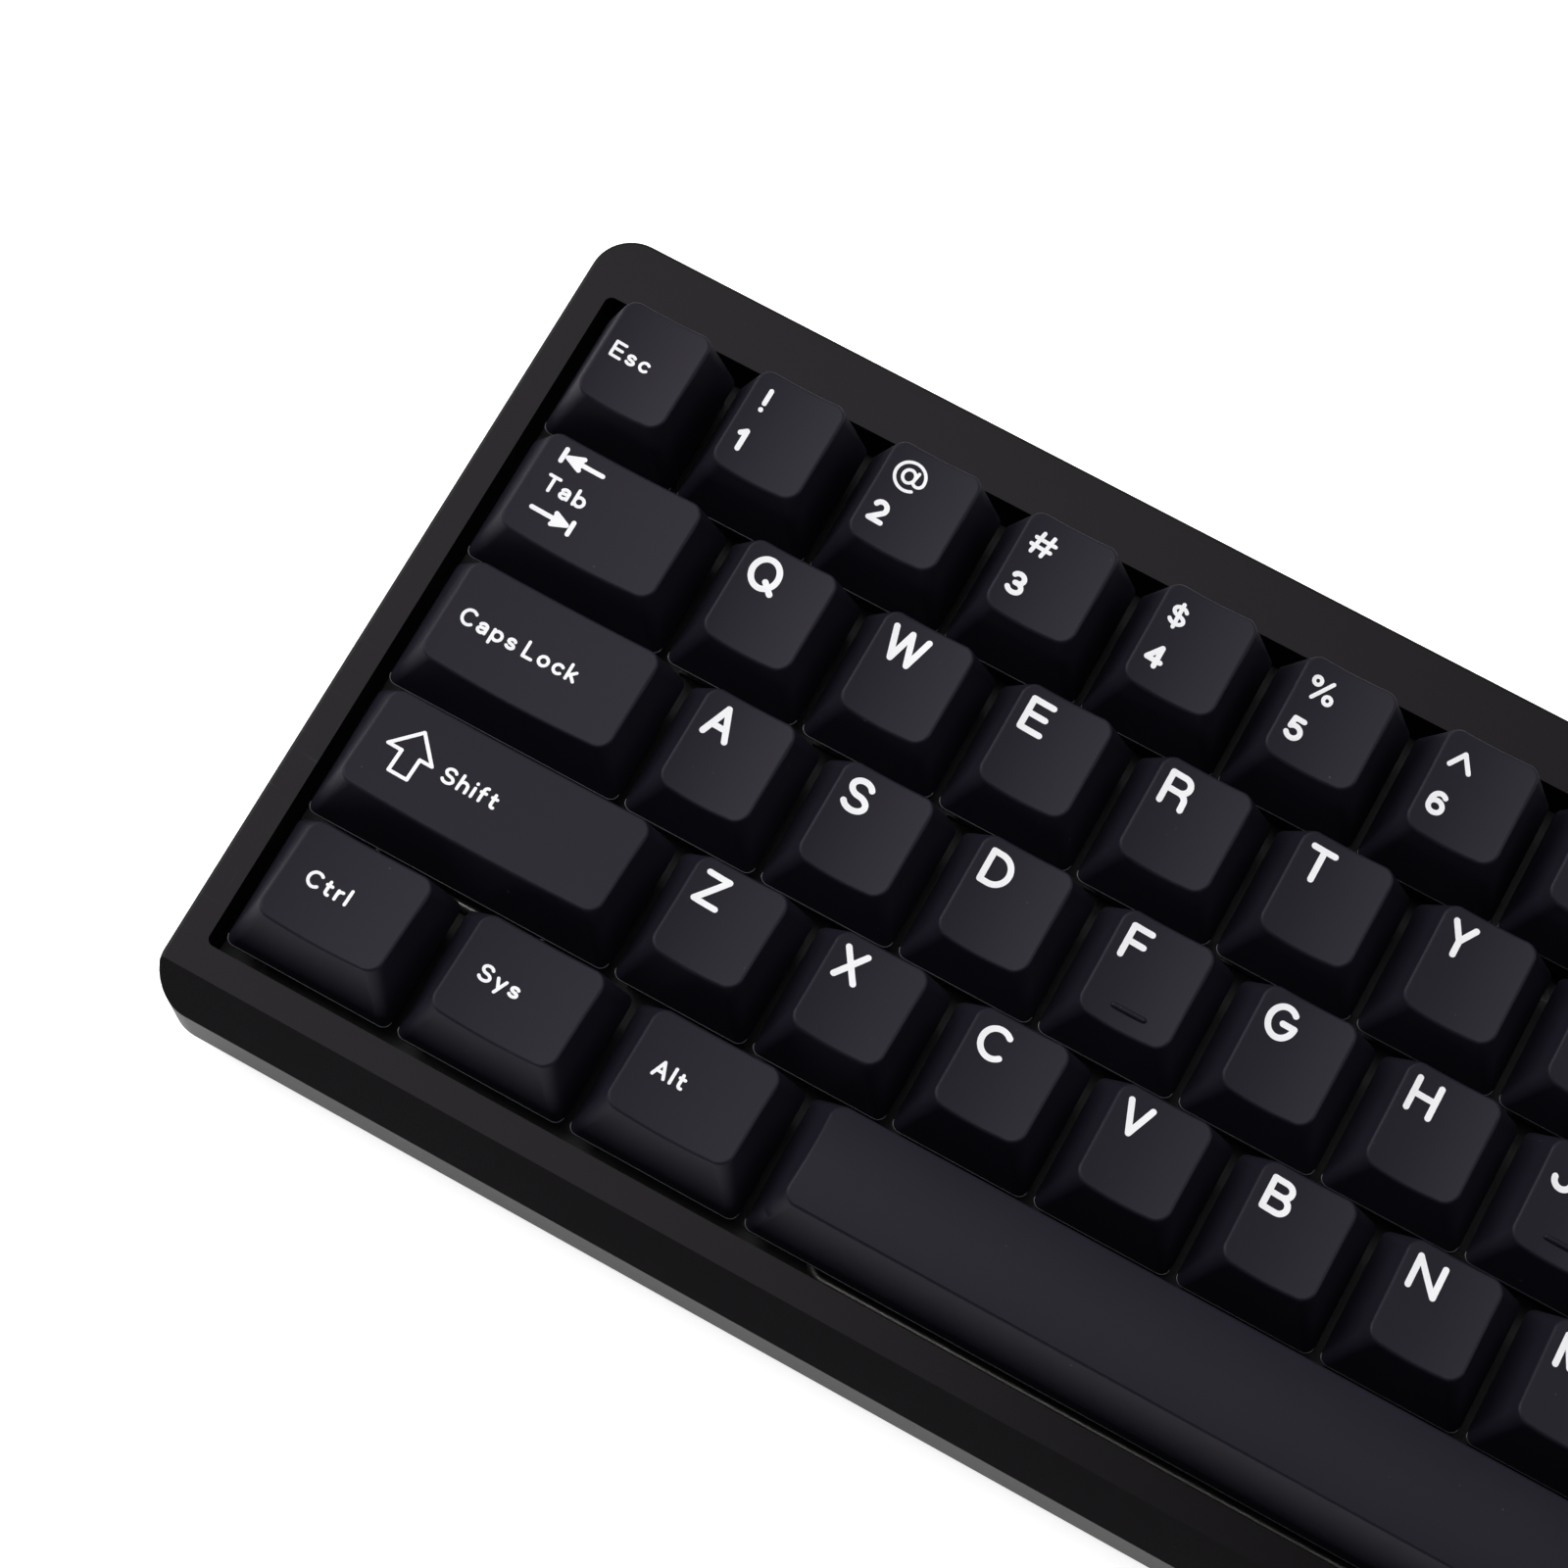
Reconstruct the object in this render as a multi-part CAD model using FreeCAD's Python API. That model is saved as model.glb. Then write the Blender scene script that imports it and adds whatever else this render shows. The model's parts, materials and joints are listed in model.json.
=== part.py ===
import FreeCAD, Part
import math
import os

# A compact mechanical keyboard: 61 keys in five staggered rows, on a two-piece case that leans the
# keys towards the typist. It is laid out in the deck frame, where X runs to the right, Y to the back
# and Z squarely out of the key deck. The last section leans every piece by the typing angle and
# stands the keyboard on its feet, with the origin under the middle of its box. All sizes are in mm.

Vector = FreeCAD.Vector
os.makedirs("parts", exist_ok=True)

# ---------------------------------------------------------------- driving dimensions
# Key grid
UNIT = 19.05                 # pitch of the keys
TYPING_ANGLE = 6.0           # lean of the key deck, in degrees
KEY_TRAVEL = 4.0             # full stroke of a key

# Keycaps, with their skirts on the plane Z = 0 when nothing is pressed
KEY_GAP = 0.89               # free space between neighbouring skirts
CAP_TAPER = 6.14             # how much narrower the top is than the skirt
CAP_TOP_DEPTH = 14.25        # front to back, at the top
CAP_SKIRT_CORNER = 1.2
CAP_TOP_CORNER = 2.0
CAP_WALL = 1.2
CAP_ROOF = 1.3
CAP_EDGE_ROUND = 0.4
DISH_DEPTH = 0.65
SPACE_CROWN = 0.8            # the space bar bulges where the other caps are dished
BOSS_DIAMETER = 5.5
CROSS_LENGTH = 4.0           # cross of the slider that the cap is pushed onto
CROSS_WIDTH = 1.15
CROSS_HEIGHT = 3.6
CROSS_FIT = 0.05             # clearance all round between the cross and the cap
HOMING_BAR_LENGTH = 4.0
HOMING_BAR_RADIUS = 0.4
HOMING_BAR_INSET = 2.4       # from the front edge of the top

# Sculpted rows: height of the top's edge, lean of the top in degrees, shift of the top to the back
ROW_PROFILES = {
    "number": (9.75, 2.0, 1.7),
    "upper": (7.55, 2.5, 1.5),
    "home": (6.55, 3.0, 1.5),
    "lower": (7.4, 11.0, 1.6),
}

# Switches, measured from the top of the plate
CAP_LIFT = 6.6               # from the plate up to the skirts of the keycaps
CUTOUT = 14.0
HOUSING_FIT = 0.05           # clearance of a housing in its cutout, each side
FLANGE_SIZE = 15.6
FLANGE_HEIGHT = 1.0
HOUSING_HEIGHT = 6.6
HOUSING_BASE = 14.4
HOUSING_CROWN_X = 10.8
HOUSING_CROWN_Y = 11.2
HOUSING_WALL = 1.0
SLIDER_X = 6.8
SLIDER_Y = 5.2
SLIDER_FIT = 0.2
SLIDER_HEIGHT = 6.1
BOARD_DROP = 5.0             # from the top of the plate to the top of the circuit board
PIN_DIAMETER = 3.9           # centre pin of a switch, through the board
PIN_FIT = 0.1
PIN_LENGTH = 3.3
POLE_DIAMETER = 1.9          # guide pole inside a switch
POLE_FIT = 0.15
POLE_LENGTH = 3.7            # below the slider's skirt
TOWER_WALL = 0.5
TOWER_HEIGHT = 1.5
SPRING_DIAMETER = 4.0        # across the middle of the wire
SPRING_WIRE = 0.3
SPRING_TURNS = 7
SPRING_SIDES = 6             # flats round the wire
SPRING_WELL_DIAMETER = 4.9
SPRING_SEAT_GAP = 0.1

# Stabilisers under the wide keys
STABILISER_SPREAD = 11.94    # from the switch to a stabiliser, on keys of 2 to 3 units
SPACE_SPREAD = 50.0          # the same on the space bar
STABILISED_WIDTH = 2.0       # units
SPACE_WIDTH = 6.25           # units
STAB_X = 6.6
STAB_FRONT = 6.0
STAB_BACK = 5.3
STAB_HEIGHT = 5.5
STAB_DEPTH = 4.5
STAB_WALL = 0.5
STAB_FLANGE = 0.7
STAB_FLANGE_HEIGHT = 1.0
STAB_FIT = 0.1
INSERT_X = 4.6
INSERT_Y = 4.4
INSERT_HEIGHT = 5.8
WIRE_DIAMETER = 1.5
WIRE_BEND = 2.0
WIRE_ARM = 8.1               # from the pivot to the tip of an arm
WIRE_OFFSET = 9.0            # the pivot lies in front of the key's centre
WIRE_LIFT = 1.15             # the pivot lies above the plate
WIRE_FIT = 0.15
HOOK_SLOT_X = 2.2
HOOK_SLOT_Y = 1.7
HOOK_SLOT_Z = 2.6
LUG_WIDTH = 1.8
LUG_HEIGHT = 1.5
LUG_FLOOR = 0.3
LUG_LIP = 0.3

# Plate and circuit board
PLATE_THICKNESS = 1.5
PLATE_MARGIN = 1.5           # beyond the key grid
PLATE_CORNER = 2.0
BOARD_THICKNESS = 1.6
BOARD_MARGIN = -0.4          # beyond the key grid
BOARD_CORNER = 1.0
BOARD_TONGUE_WIDTH = 22.0
BOARD_TONGUE_BACK = 99.4
DIODE_SIZE = (2.7, 1.6, 1.1)
DIODE_OFFSET = (5.0, -5.2)
CHIP_SIZES = {"controller": (7.0, 7.0, 0.9), "crystal": (3.2, 2.5, 0.8), "regulator": (3.0, 1.6, 1.1)}
CHIP_PLACES = {"controller": (-66.7, 56.4), "crystal": (-58.5, 56.4), "regulator": (-95.25, 76.2)}

# Case
BEZEL_TOP = 1.7              # above the skirts of the keycaps
OPENING_GAP = 1.0            # between the key grid and the bezel
OPENING_CORNER = 1.0
BEZEL_SIDE = 4.0
BEZEL_FRONT = 4.0
BEZEL_BACK = 8.6
FRONT_CHAMFER = 4.4
CASE_CORNER = 5.5
CASE_EDGE_ROUND = 0.5
CASE_WALL = 2.5
CASE_ROOF = 3.0
SKIRT_BOTTOM = -12.6         # lower edge of the top case
COLLAR_WALL = 1.3            # wall that hangs round the opening down to the plate
COLLAR_GAP = 0.3
TRAY_INSET = 1.0
TRAY_LIP_WALL = 1.2
TRAY_LIP_HEIGHT = 2.0
TRAY_LIP_FIT = 0.15
TRAY_FLOOR = 2.2
TRAY_EDGE_BREAK = 1.2
PIN_TO_FLOOR = 0.8           # under the centre pins of the front row
FOOT_DIAMETER = 12.0
FOOT_THICKNESS = 2.2
FOOT_PROUD = 1.5
FOOT_EDGE_ROUND = 0.5
FOOT_FIT = 0.1
FOOT_INSET_X = 16.0          # from the sides of the case to the middle of a foot
FOOT_INSET_Y = 14.0

# Screws
CASE_SCREW_DIAMETER = 2.5
CASE_SCREW_LENGTH = 8.0
CASE_SCREW_HEAD = 4.4
CASE_SCREW_HEAD_HEIGHT = 1.6
BOSS_GAP = 0.05              # clearance of a screw in its hole, each side
CASE_BOSS_DIAMETER = 4.8
CASE_BOSS_END = -9.6
TOWER_DIAMETER = 6.6
CASE_SCREW_GRIP = 3.0        # material of the tray under a case boss that a screw clamps
BOARD_SCREW_DIAMETER = 2.0
BOARD_SCREW_LENGTH = 5.5
BOARD_SCREW_HEAD = 3.8
BOARD_SCREW_HEAD_HEIGHT = 1.3
STANDOFF_DIAMETER = 4.6
PLATE_ACCESS_DIAMETER = 4.6
DRIVE_SIZE = 1.0             # across the flats of the hexagon recess
DRIVE_DEPTH = 0.8
BOARD_SCREW_CELLS = [(3.0, 1.0), (12.0, 1.0), (7.5, 2.0), (1.0, 3.0), (14.0, 3.0), (7.5, 4.0)]

# Socket for the lead
SOCKET_X = -104.0
SOCKET_WIDTH = 8.94
SOCKET_HEIGHT = 3.26
SOCKET_DEPTH = 7.35
SOCKET_WALL = 0.3
SOCKET_MOUTH = 100.4         # Y of the socket's mouth
SOCKET_TONGUE = (6.7, 5.2, 0.7)
SOCKET_CUT_WIDTH = 13.0
SOCKET_CUT_TOP = -6.4

# ---------------------------------------------------------------- layout
# Rows from the back to the front: profile, and keys from the left as (name, width in units).
ROWS = [
    ("number", [("esc", 1.0)] + [(name, 1.0) for name in "1234567890"]
     + [("minus", 1.0), ("equal", 1.0), ("backspace", 2.0)]),
    ("upper", [("tab", 1.5)] + [(name, 1.0) for name in "qwertyuiop"]
     + [("left_bracket", 1.0), ("right_bracket", 1.0), ("backslash", 1.5)]),
    ("home", [("caps_lock", 1.75)] + [(name, 1.0) for name in "asdfghjkl"]
     + [("semicolon", 1.0), ("quote", 1.0), ("enter", 2.25)]),
    ("lower", [("left_shift", 2.25)] + [(name, 1.0) for name in "zxcvbnm"]
     + [("comma", 1.0), ("dot", 1.0), ("slash", 1.0), ("right_shift", 2.75)]),
    ("lower", [("left_ctrl", 1.25), ("left_system", 1.25), ("left_alt", 1.25), ("space", SPACE_WIDTH),
               ("right_alt", 1.25), ("right_system", 1.25), ("menu", 1.25), ("right_ctrl", 1.25)]),
]
HOMING_KEYS = ("f", "j")

# Keys that share a node; every other key has a node of its own.
KEY_GROUPS = {
    "keys_7_8_9": ["7", "8", "9"],
    "keys_0_minus_equal": ["0", "minus", "equal"],
    "keys_u_i_o_p": ["u", "i", "o", "p"],
    "keys_brackets_backslash": ["left_bracket", "right_bracket", "backslash"],
    "keys_k_l_semicolon_quote": ["k", "l", "semicolon", "quote"],
    "keys_comma_dot_slash": ["comma", "dot", "slash"],
    "keys_right_modifiers": ["right_alt", "right_system", "menu", "right_ctrl"],
}

# ---------------------------------------------------------------- levels and places worked out
GRID_WIDTH = UNIT * sum(width for name, width in ROWS[0][1])
GRID_DEPTH = UNIT * len(ROWS)
PLATE_TOP = -CAP_LIFT
HOUSING_TOP = PLATE_TOP + HOUSING_HEIGHT
BOARD_TOP = PLATE_TOP - BOARD_DROP
BOARD_BOTTOM = BOARD_TOP - BOARD_THICKNESS
HOUSING_FLOOR = BOARD_TOP + HOUSING_WALL
PIN_BOTTOM = BOARD_TOP - PIN_LENGTH
SLIDER_BOTTOM = HOUSING_TOP - SLIDER_HEIGHT
SPRING_CEILING = HOUSING_TOP - 2.0
BOSS_BOTTOM = HOUSING_TOP + CROSS_FIT

CASE_HALF_X = GRID_WIDTH / 2 + OPENING_GAP + BEZEL_SIDE
CASE_FRONT = -(OPENING_GAP + BEZEL_FRONT + FRONT_CHAMFER)
CASE_BACK = GRID_DEPTH + OPENING_GAP + BEZEL_BACK
TRAY_INNER_INSET = CASE_WALL + TRAY_LIP_FIT + TRAY_LIP_WALL

# The floor of the tray is level when the keyboard stands on the desk.
FLOOR_SLOPE = math.tan(math.radians(TYPING_ANGLE))
FLOOR_AT_FRONT_ROW = PIN_BOTTOM - PIN_TO_FLOOR

WIRE_REACH = KEY_TRAVEL / 2
WIRE_ANGLE = math.degrees(math.asin(WIRE_REACH / WIRE_ARM))
WIRE_Z = PLATE_TOP + WIRE_LIFT


class Key:
    """One key of the layout: its name, row profile, width in units and the centre of its cell."""

    def __init__(self, name, profile, units, x, y):
        self.name = name
        self.profile = profile
        self.units = units
        self.x = x
        self.y = y

    def stems(self):
        """Offsets along X of the stabiliser stems, none on a narrow key."""
        if self.units < STABILISED_WIDTH:
            return []
        spread = SPACE_SPREAD if self.units >= SPACE_WIDTH else STABILISER_SPREAD
        return [-spread, spread]


def lay_out_keys():
    """Returns every key, row by row from the back, with its place."""
    keys = []
    for row, (profile, row_keys) in enumerate(ROWS):
        y = GRID_DEPTH - (row + 0.5) * UNIT
        left = -GRID_WIDTH / 2
        for name, units in row_keys:
            keys.append(Key(name, profile, units, left + units * UNIT / 2, y))
            left += units * UNIT
    return keys


# ---------------------------------------------------------------- shape helpers
def box(x0, x1, y0, y1, z0, z1):
    """A box between two corners."""
    return Part.makeBox(x1 - x0, y1 - y0, z1 - z0, Vector(x0, y0, z0))


def centred_box(width, depth, z0, z1, x=0.0, y=0.0):
    """A box centred on X and Y."""
    return box(x - width / 2, x + width / 2, y - depth / 2, y + depth / 2, z0, z1)


def disc(diameter, z0, z1, x=0.0, y=0.0):
    """An upright cylinder."""
    return Part.makeCylinder(diameter / 2, z1 - z0, Vector(x, y, z0))


def rounded_outline(x0, x1, y0, y1, corner, z=0.0):
    """A flat closed wire: four sides and four quarter arcs."""
    cut = corner * (1 - math.sqrt(0.5))

    def line(ax, ay, bx, by):
        return Part.LineSegment(Vector(ax, ay, z), Vector(bx, by, z)).toShape()

    def arc(ax, ay, mx, my, bx, by):
        return Part.Arc(Vector(ax, ay, z), Vector(mx, my, z), Vector(bx, by, z)).toShape()

    return Part.Wire([
        line(x0 + corner, y0, x1 - corner, y0),
        arc(x1 - corner, y0, x1 - cut, y0 + cut, x1, y0 + corner),
        line(x1, y0 + corner, x1, y1 - corner),
        arc(x1, y1 - corner, x1 - cut, y1 - cut, x1 - corner, y1),
        line(x1 - corner, y1, x0 + corner, y1),
        arc(x0 + corner, y1, x0 + cut, y1 - cut, x0, y1 - corner),
        line(x0, y1 - corner, x0, y0 + corner),
        arc(x0, y0 + corner, x0 + cut, y0 + cut, x0 + corner, y0),
    ])


def rounded_prism(x0, x1, y0, y1, corner, z0, z1):
    """An upright prism with rounded corners."""
    return Part.Face(rounded_outline(x0, x1, y0, y1, corner, z0)).extrude(Vector(0, 0, z1 - z0))


def grid_prism(margin, corner, z0, z1):
    """A rounded prism that stands a margin outside the key grid."""
    half = GRID_WIDTH / 2 + margin
    return rounded_prism(-half, half, -margin, GRID_DEPTH + margin, corner, z0, z1)


def case_prism(inset, z0, z1):
    """A rounded prism that follows the case, set in from its outside."""
    half = CASE_HALF_X - inset
    corner = max(CASE_CORNER - inset, OPENING_CORNER)
    return rounded_prism(-half, half, CASE_FRONT + inset, CASE_BACK - inset, corner, z0, z1)


def front_wedge(offset):
    """What the front chamfer takes away, moved into the case by an offset square to the slope."""
    shift = offset * math.sqrt(2)
    reach = 40.0
    low = BEZEL_TOP - FRONT_CHAMFER - shift
    points = [
        Vector(-CASE_HALF_X - 1, CASE_FRONT - reach, low - reach),
        Vector(-CASE_HALF_X - 1, CASE_FRONT + reach, low + reach),
        Vector(-CASE_HALF_X - 1, CASE_FRONT - reach, low + reach),
    ]
    face = Part.Face(Part.makePolygon(points + points[:1]))
    return face.extrude(Vector(2 * CASE_HALF_X + 2, 0, 0))


def below_floor(depth):
    """Everything lower than a level plane that lies a depth under the inside of the tray's floor."""
    reach = 400.0
    block = Part.makeBox(reach, reach, reach, Vector(-reach / 2, -reach / 2, -reach - depth))
    block.rotate(Vector(0, 0, 0), Vector(1, 0, 0), -TYPING_ANGLE)
    block.translate(Vector(0, UNIT / 2, FLOOR_AT_FRONT_ROW))
    return block


def level_disc(diameter, x, y, top, bottom):
    """A disc square to the desk, between two depths under the inside of the tray's floor."""
    shape = Part.makeCylinder(diameter / 2, bottom - top, Vector(x, y - UNIT / 2, -bottom))
    shape.rotate(Vector(0, 0, 0), Vector(1, 0, 0), -TYPING_ANGLE)
    shape.translate(Vector(0, UNIT / 2, FLOOR_AT_FRONT_ROW))
    return shape


def cross_post(clearance, z0, z1):
    """The cross of a slider, or with a clearance the socket for it."""
    length = CROSS_LENGTH + 2 * clearance
    width = CROSS_WIDTH + 2 * clearance
    return centred_box(length, width, z0, z1).fuse(centred_box(width, length, z0, z1)).removeSplitter()


def at(shape, x, y):
    """A copy of a shape, moved over the deck."""
    copy = shape.copy()
    copy.translate(Vector(x, y, 0))
    return copy


# ---------------------------------------------------------------- keycaps
def cap_section(key, share, inset):
    """Outline of a keycap at a share of its height, set in by a wall."""
    height, lean, shift = ROW_PROFILES[key.profile]
    skirt_width = key.units * UNIT - KEY_GAP
    skirt_depth = UNIT - KEY_GAP
    half_x = (skirt_width - share * CAP_TAPER) / 2 - inset
    half_y = (skirt_depth + share * (CAP_TOP_DEPTH - skirt_depth)) / 2 - inset
    corner = CAP_SKIRT_CORNER + share * (CAP_TOP_CORNER - CAP_SKIRT_CORNER)
    corner = max(corner - inset, 0.3)
    wire = rounded_outline(-half_x, half_x, -half_y, half_y, corner)
    wire.rotate(Vector(0, 0, 0), Vector(1, 0, 0), -lean * share)
    wire.translate(Vector(0, shift * share, height * share))
    return wire


def cap_top(key, body):
    """Gives the top of a keycap its dish, or on the space bar its crown."""
    height, lean, shift = ROW_PROFILES[key.profile]
    reach = 20.0
    if key.units >= SPACE_WIDTH:
        half = CAP_TOP_DEPTH / 2
        radius = (half ** 2 + SPACE_CROWN ** 2) / (2 * SPACE_CROWN)
        length = key.units * UNIT
        tool = Part.makeCylinder(radius, length, Vector(-length / 2, 0, SPACE_CROWN - radius), Vector(1, 0, 0))
    else:
        half = (key.units * UNIT - KEY_GAP - CAP_TAPER) / 2
        radius = (half ** 2 + DISH_DEPTH ** 2) / (2 * DISH_DEPTH)
        tool = Part.makeCylinder(radius, 2 * reach, Vector(0, -reach, radius - DISH_DEPTH), Vector(0, 1, 0))
    tool.rotate(Vector(0, 0, 0), Vector(1, 0, 0), -lean)
    tool.translate(Vector(0, shift, height))
    return body.common(tool) if key.units >= SPACE_WIDTH else body.cut(tool)


def homing_bar(key):
    """The short raised bar near the front edge of a homing key."""
    height, lean, shift = ROW_PROFILES[key.profile]
    start = Vector(-HOMING_BAR_LENGTH / 2, HOMING_BAR_INSET - CAP_TOP_DEPTH / 2, -DISH_DEPTH)
    bar = Part.makeCylinder(HOMING_BAR_RADIUS, HOMING_BAR_LENGTH, start, Vector(1, 0, 0))
    for end in (start, start + Vector(HOMING_BAR_LENGTH, 0, 0)):
        bar = bar.fuse(Part.makeSphere(HOMING_BAR_RADIUS, end))
    bar.rotate(Vector(0, 0, 0), Vector(1, 0, 0), -lean)
    bar.translate(Vector(0, shift, height))
    return bar


def keycap(key):
    """A hollow keycap with a boss for each stem under it."""
    height = ROW_PROFILES[key.profile][0]
    spare = 1.15             # the walls run on past the top, so that the dish trims them
    body = Part.makeLoft([cap_section(key, 0, 0), cap_section(key, spare, 0)], True, True)
    body = cap_top(key, body)
    crown = max(body.Faces, key=lambda face: face.CenterOfMass.z)
    body = body.makeFillet(CAP_EDGE_ROUND, crown.OuterWire.Edges)
    roof_share = (height - CAP_ROOF - DISH_DEPTH) / height
    hollow = Part.makeLoft([cap_section(key, 0, CAP_WALL), cap_section(key, roof_share, CAP_WALL)], True, True)
    for x in [0.0] + key.stems():
        hollow = hollow.cut(disc(BOSS_DIAMETER, BOSS_BOTTOM, height, x))
    body = body.cut(hollow)
    if key.name in HOMING_KEYS:
        body = body.fuse(homing_bar(key))
    for x in [0.0] + key.stems():
        socket = cross_post(CROSS_FIT, BOSS_BOTTOM, HOUSING_TOP + CROSS_HEIGHT + CROSS_FIT)
        body = body.cut(at(socket, x, 0))
    return body


# ---------------------------------------------------------------- switches
def slider():
    """The sliding stem of a switch, with its cross, spring well and guide pole."""
    body = centred_box(SLIDER_X, SLIDER_Y, SLIDER_BOTTOM, HOUSING_TOP)
    body = body.cut(disc(SPRING_WELL_DIAMETER, SLIDER_BOTTOM, SPRING_CEILING))
    pole = disc(POLE_DIAMETER, SLIDER_BOTTOM - POLE_LENGTH, SPRING_CEILING)
    cross = cross_post(0.0, HOUSING_TOP, HOUSING_TOP + CROSS_HEIGHT)
    return body.fuse([pole, cross]).removeSplitter()


def switch_bottom():
    """The lower housing: it drops through the plate and stands on the board."""
    flange = centred_box(FLANGE_SIZE, FLANGE_SIZE, PLATE_TOP, PLATE_TOP + FLANGE_HEIGHT)
    side = CUTOUT - 2 * HOUSING_FIT
    inside = side - 2 * HOUSING_WALL
    bore = POLE_DIAMETER + 2 * POLE_FIT
    body = centred_box(side, side, BOARD_TOP, PLATE_TOP).fuse(flange)
    body = body.cut(centred_box(inside, inside, HOUSING_FLOOR, PLATE_TOP + FLANGE_HEIGHT))
    pin = disc(PIN_DIAMETER, PIN_BOTTOM, BOARD_TOP)
    tower = disc(bore + 2 * TOWER_WALL, HOUSING_FLOOR, HOUSING_FLOOR + TOWER_HEIGHT)
    body = body.fuse([pin, tower])
    bore_bottom = SLIDER_BOTTOM - POLE_LENGTH - KEY_TRAVEL - 2 * POLE_FIT
    return body.cut(disc(bore, bore_bottom, HOUSING_FLOOR + TOWER_HEIGHT)).removeSplitter()


def switch_top():
    """The upper housing: a tapered hood with a slot for the slider."""
    base = PLATE_TOP + FLANGE_HEIGHT
    roof = HOUSING_TOP - HOUSING_WALL

    def hood(inset, top):
        half = HOUSING_BASE / 2 - inset
        x = HOUSING_CROWN_X / 2 - inset
        y = HOUSING_CROWN_Y / 2 - inset
        corner = 1.4 - inset
        low = rounded_outline(-half, half, -half, half, corner, base)
        high = rounded_outline(-x, x, -y, y, corner, top)
        return Part.makeLoft([low, high], True, True)

    slot = centred_box(SLIDER_X + 2 * SLIDER_FIT, SLIDER_Y + 2 * SLIDER_FIT, base, HOUSING_TOP)
    return hood(0.0, HOUSING_TOP).cut(hood(HOUSING_WALL, roof)).cut(slot)


def switch_spring():
    """The coil spring between the floor of the housing and the slider."""
    low = HOUSING_FLOOR + SPRING_WIRE / 2 + SPRING_SEAT_GAP
    length = SPRING_CEILING - SPRING_WIRE / 2 - SPRING_SEAT_GAP - low
    radius = SPRING_DIAMETER / 2
    coil = Part.makeHelix(length / SPRING_TURNS, length, radius)
    around = [2 * math.pi * (side + 0.5) / SPRING_SIDES for side in range(SPRING_SIDES + 1)]
    ring = Part.makePolygon([Vector(radius + SPRING_WIRE / 2 * math.cos(angle), 0,
                                    SPRING_WIRE / 2 * math.sin(angle)) for angle in around])
    spring = Part.Wire(coil).makePipeShell([ring], True, True)
    spring.translate(Vector(0, 0, low))
    return spring


# ---------------------------------------------------------------- stabilisers
def stabiliser_insert():
    """The sliding stem of a stabiliser, with the slot that its wire hooks into."""
    bottom = HOUSING_TOP - INSERT_HEIGHT
    hook = WIRE_Z + WIRE_REACH
    body = centred_box(INSERT_X, INSERT_Y, bottom, HOUSING_TOP)
    body = body.fuse(cross_post(0.0, HOUSING_TOP, HOUSING_TOP + CROSS_HEIGHT)).removeSplitter()
    half = HOOK_SLOT_X / 2
    front = -INSERT_Y / 2
    return body.cut(box(-half, half, front, front + HOOK_SLOT_Y, hook - HOOK_SLOT_Z / 2, hook + HOOK_SLOT_Z / 2))


def stabiliser_housing(side):
    """One housing of a pair. side is 1 for the right one and -1 for the left one."""
    half = STAB_X / 2
    body = box(-half, half, -STAB_FRONT, STAB_BACK, PLATE_TOP - STAB_DEPTH, PLATE_TOP + STAB_HEIGHT)
    wide = half + STAB_FLANGE
    flange_top = PLATE_TOP + STAB_FLANGE_HEIGHT
    flange = box(-wide, wide, -STAB_FRONT - STAB_FLANGE, STAB_BACK + STAB_FLANGE, PLATE_TOP, flange_top)
    lug_middle = -side * (wide - LUG_WIDTH / 2)
    lug_front = -WIRE_OFFSET - WIRE_DIAMETER / 2 - WIRE_FIT - LUG_LIP
    lug = box(lug_middle - LUG_WIDTH / 2, lug_middle + LUG_WIDTH / 2, lug_front, -STAB_FRONT,
              PLATE_TOP, PLATE_TOP + LUG_HEIGHT)
    body = body.fuse([flange, lug])
    channel = WIRE_DIAMETER / 2 + WIRE_FIT
    body = body.cut(box(-wide, wide, -WIRE_OFFSET - channel, -WIRE_OFFSET + channel,
                        PLATE_TOP + LUG_FLOOR, PLATE_TOP + STAB_HEIGHT))
    inner = half - STAB_WALL
    body = body.cut(box(-inner, inner, -STAB_FRONT + STAB_WALL, STAB_BACK - STAB_WALL,
                        PLATE_TOP - STAB_DEPTH + STAB_WALL, PLATE_TOP + STAB_HEIGHT))
    arm = HOOK_SLOT_X / 2
    sweep = WIRE_DIAMETER / 2 + WIRE_FIT
    drop = (WIRE_OFFSET - STAB_FRONT + STAB_WALL) * math.tan(math.radians(WIRE_ANGLE)) + sweep
    body = body.cut(box(-arm, arm, -STAB_FRONT - STAB_FLANGE, -STAB_FRONT + STAB_WALL,
                        WIRE_Z - drop, WIRE_Z + drop))
    return body.removeSplitter()


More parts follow.
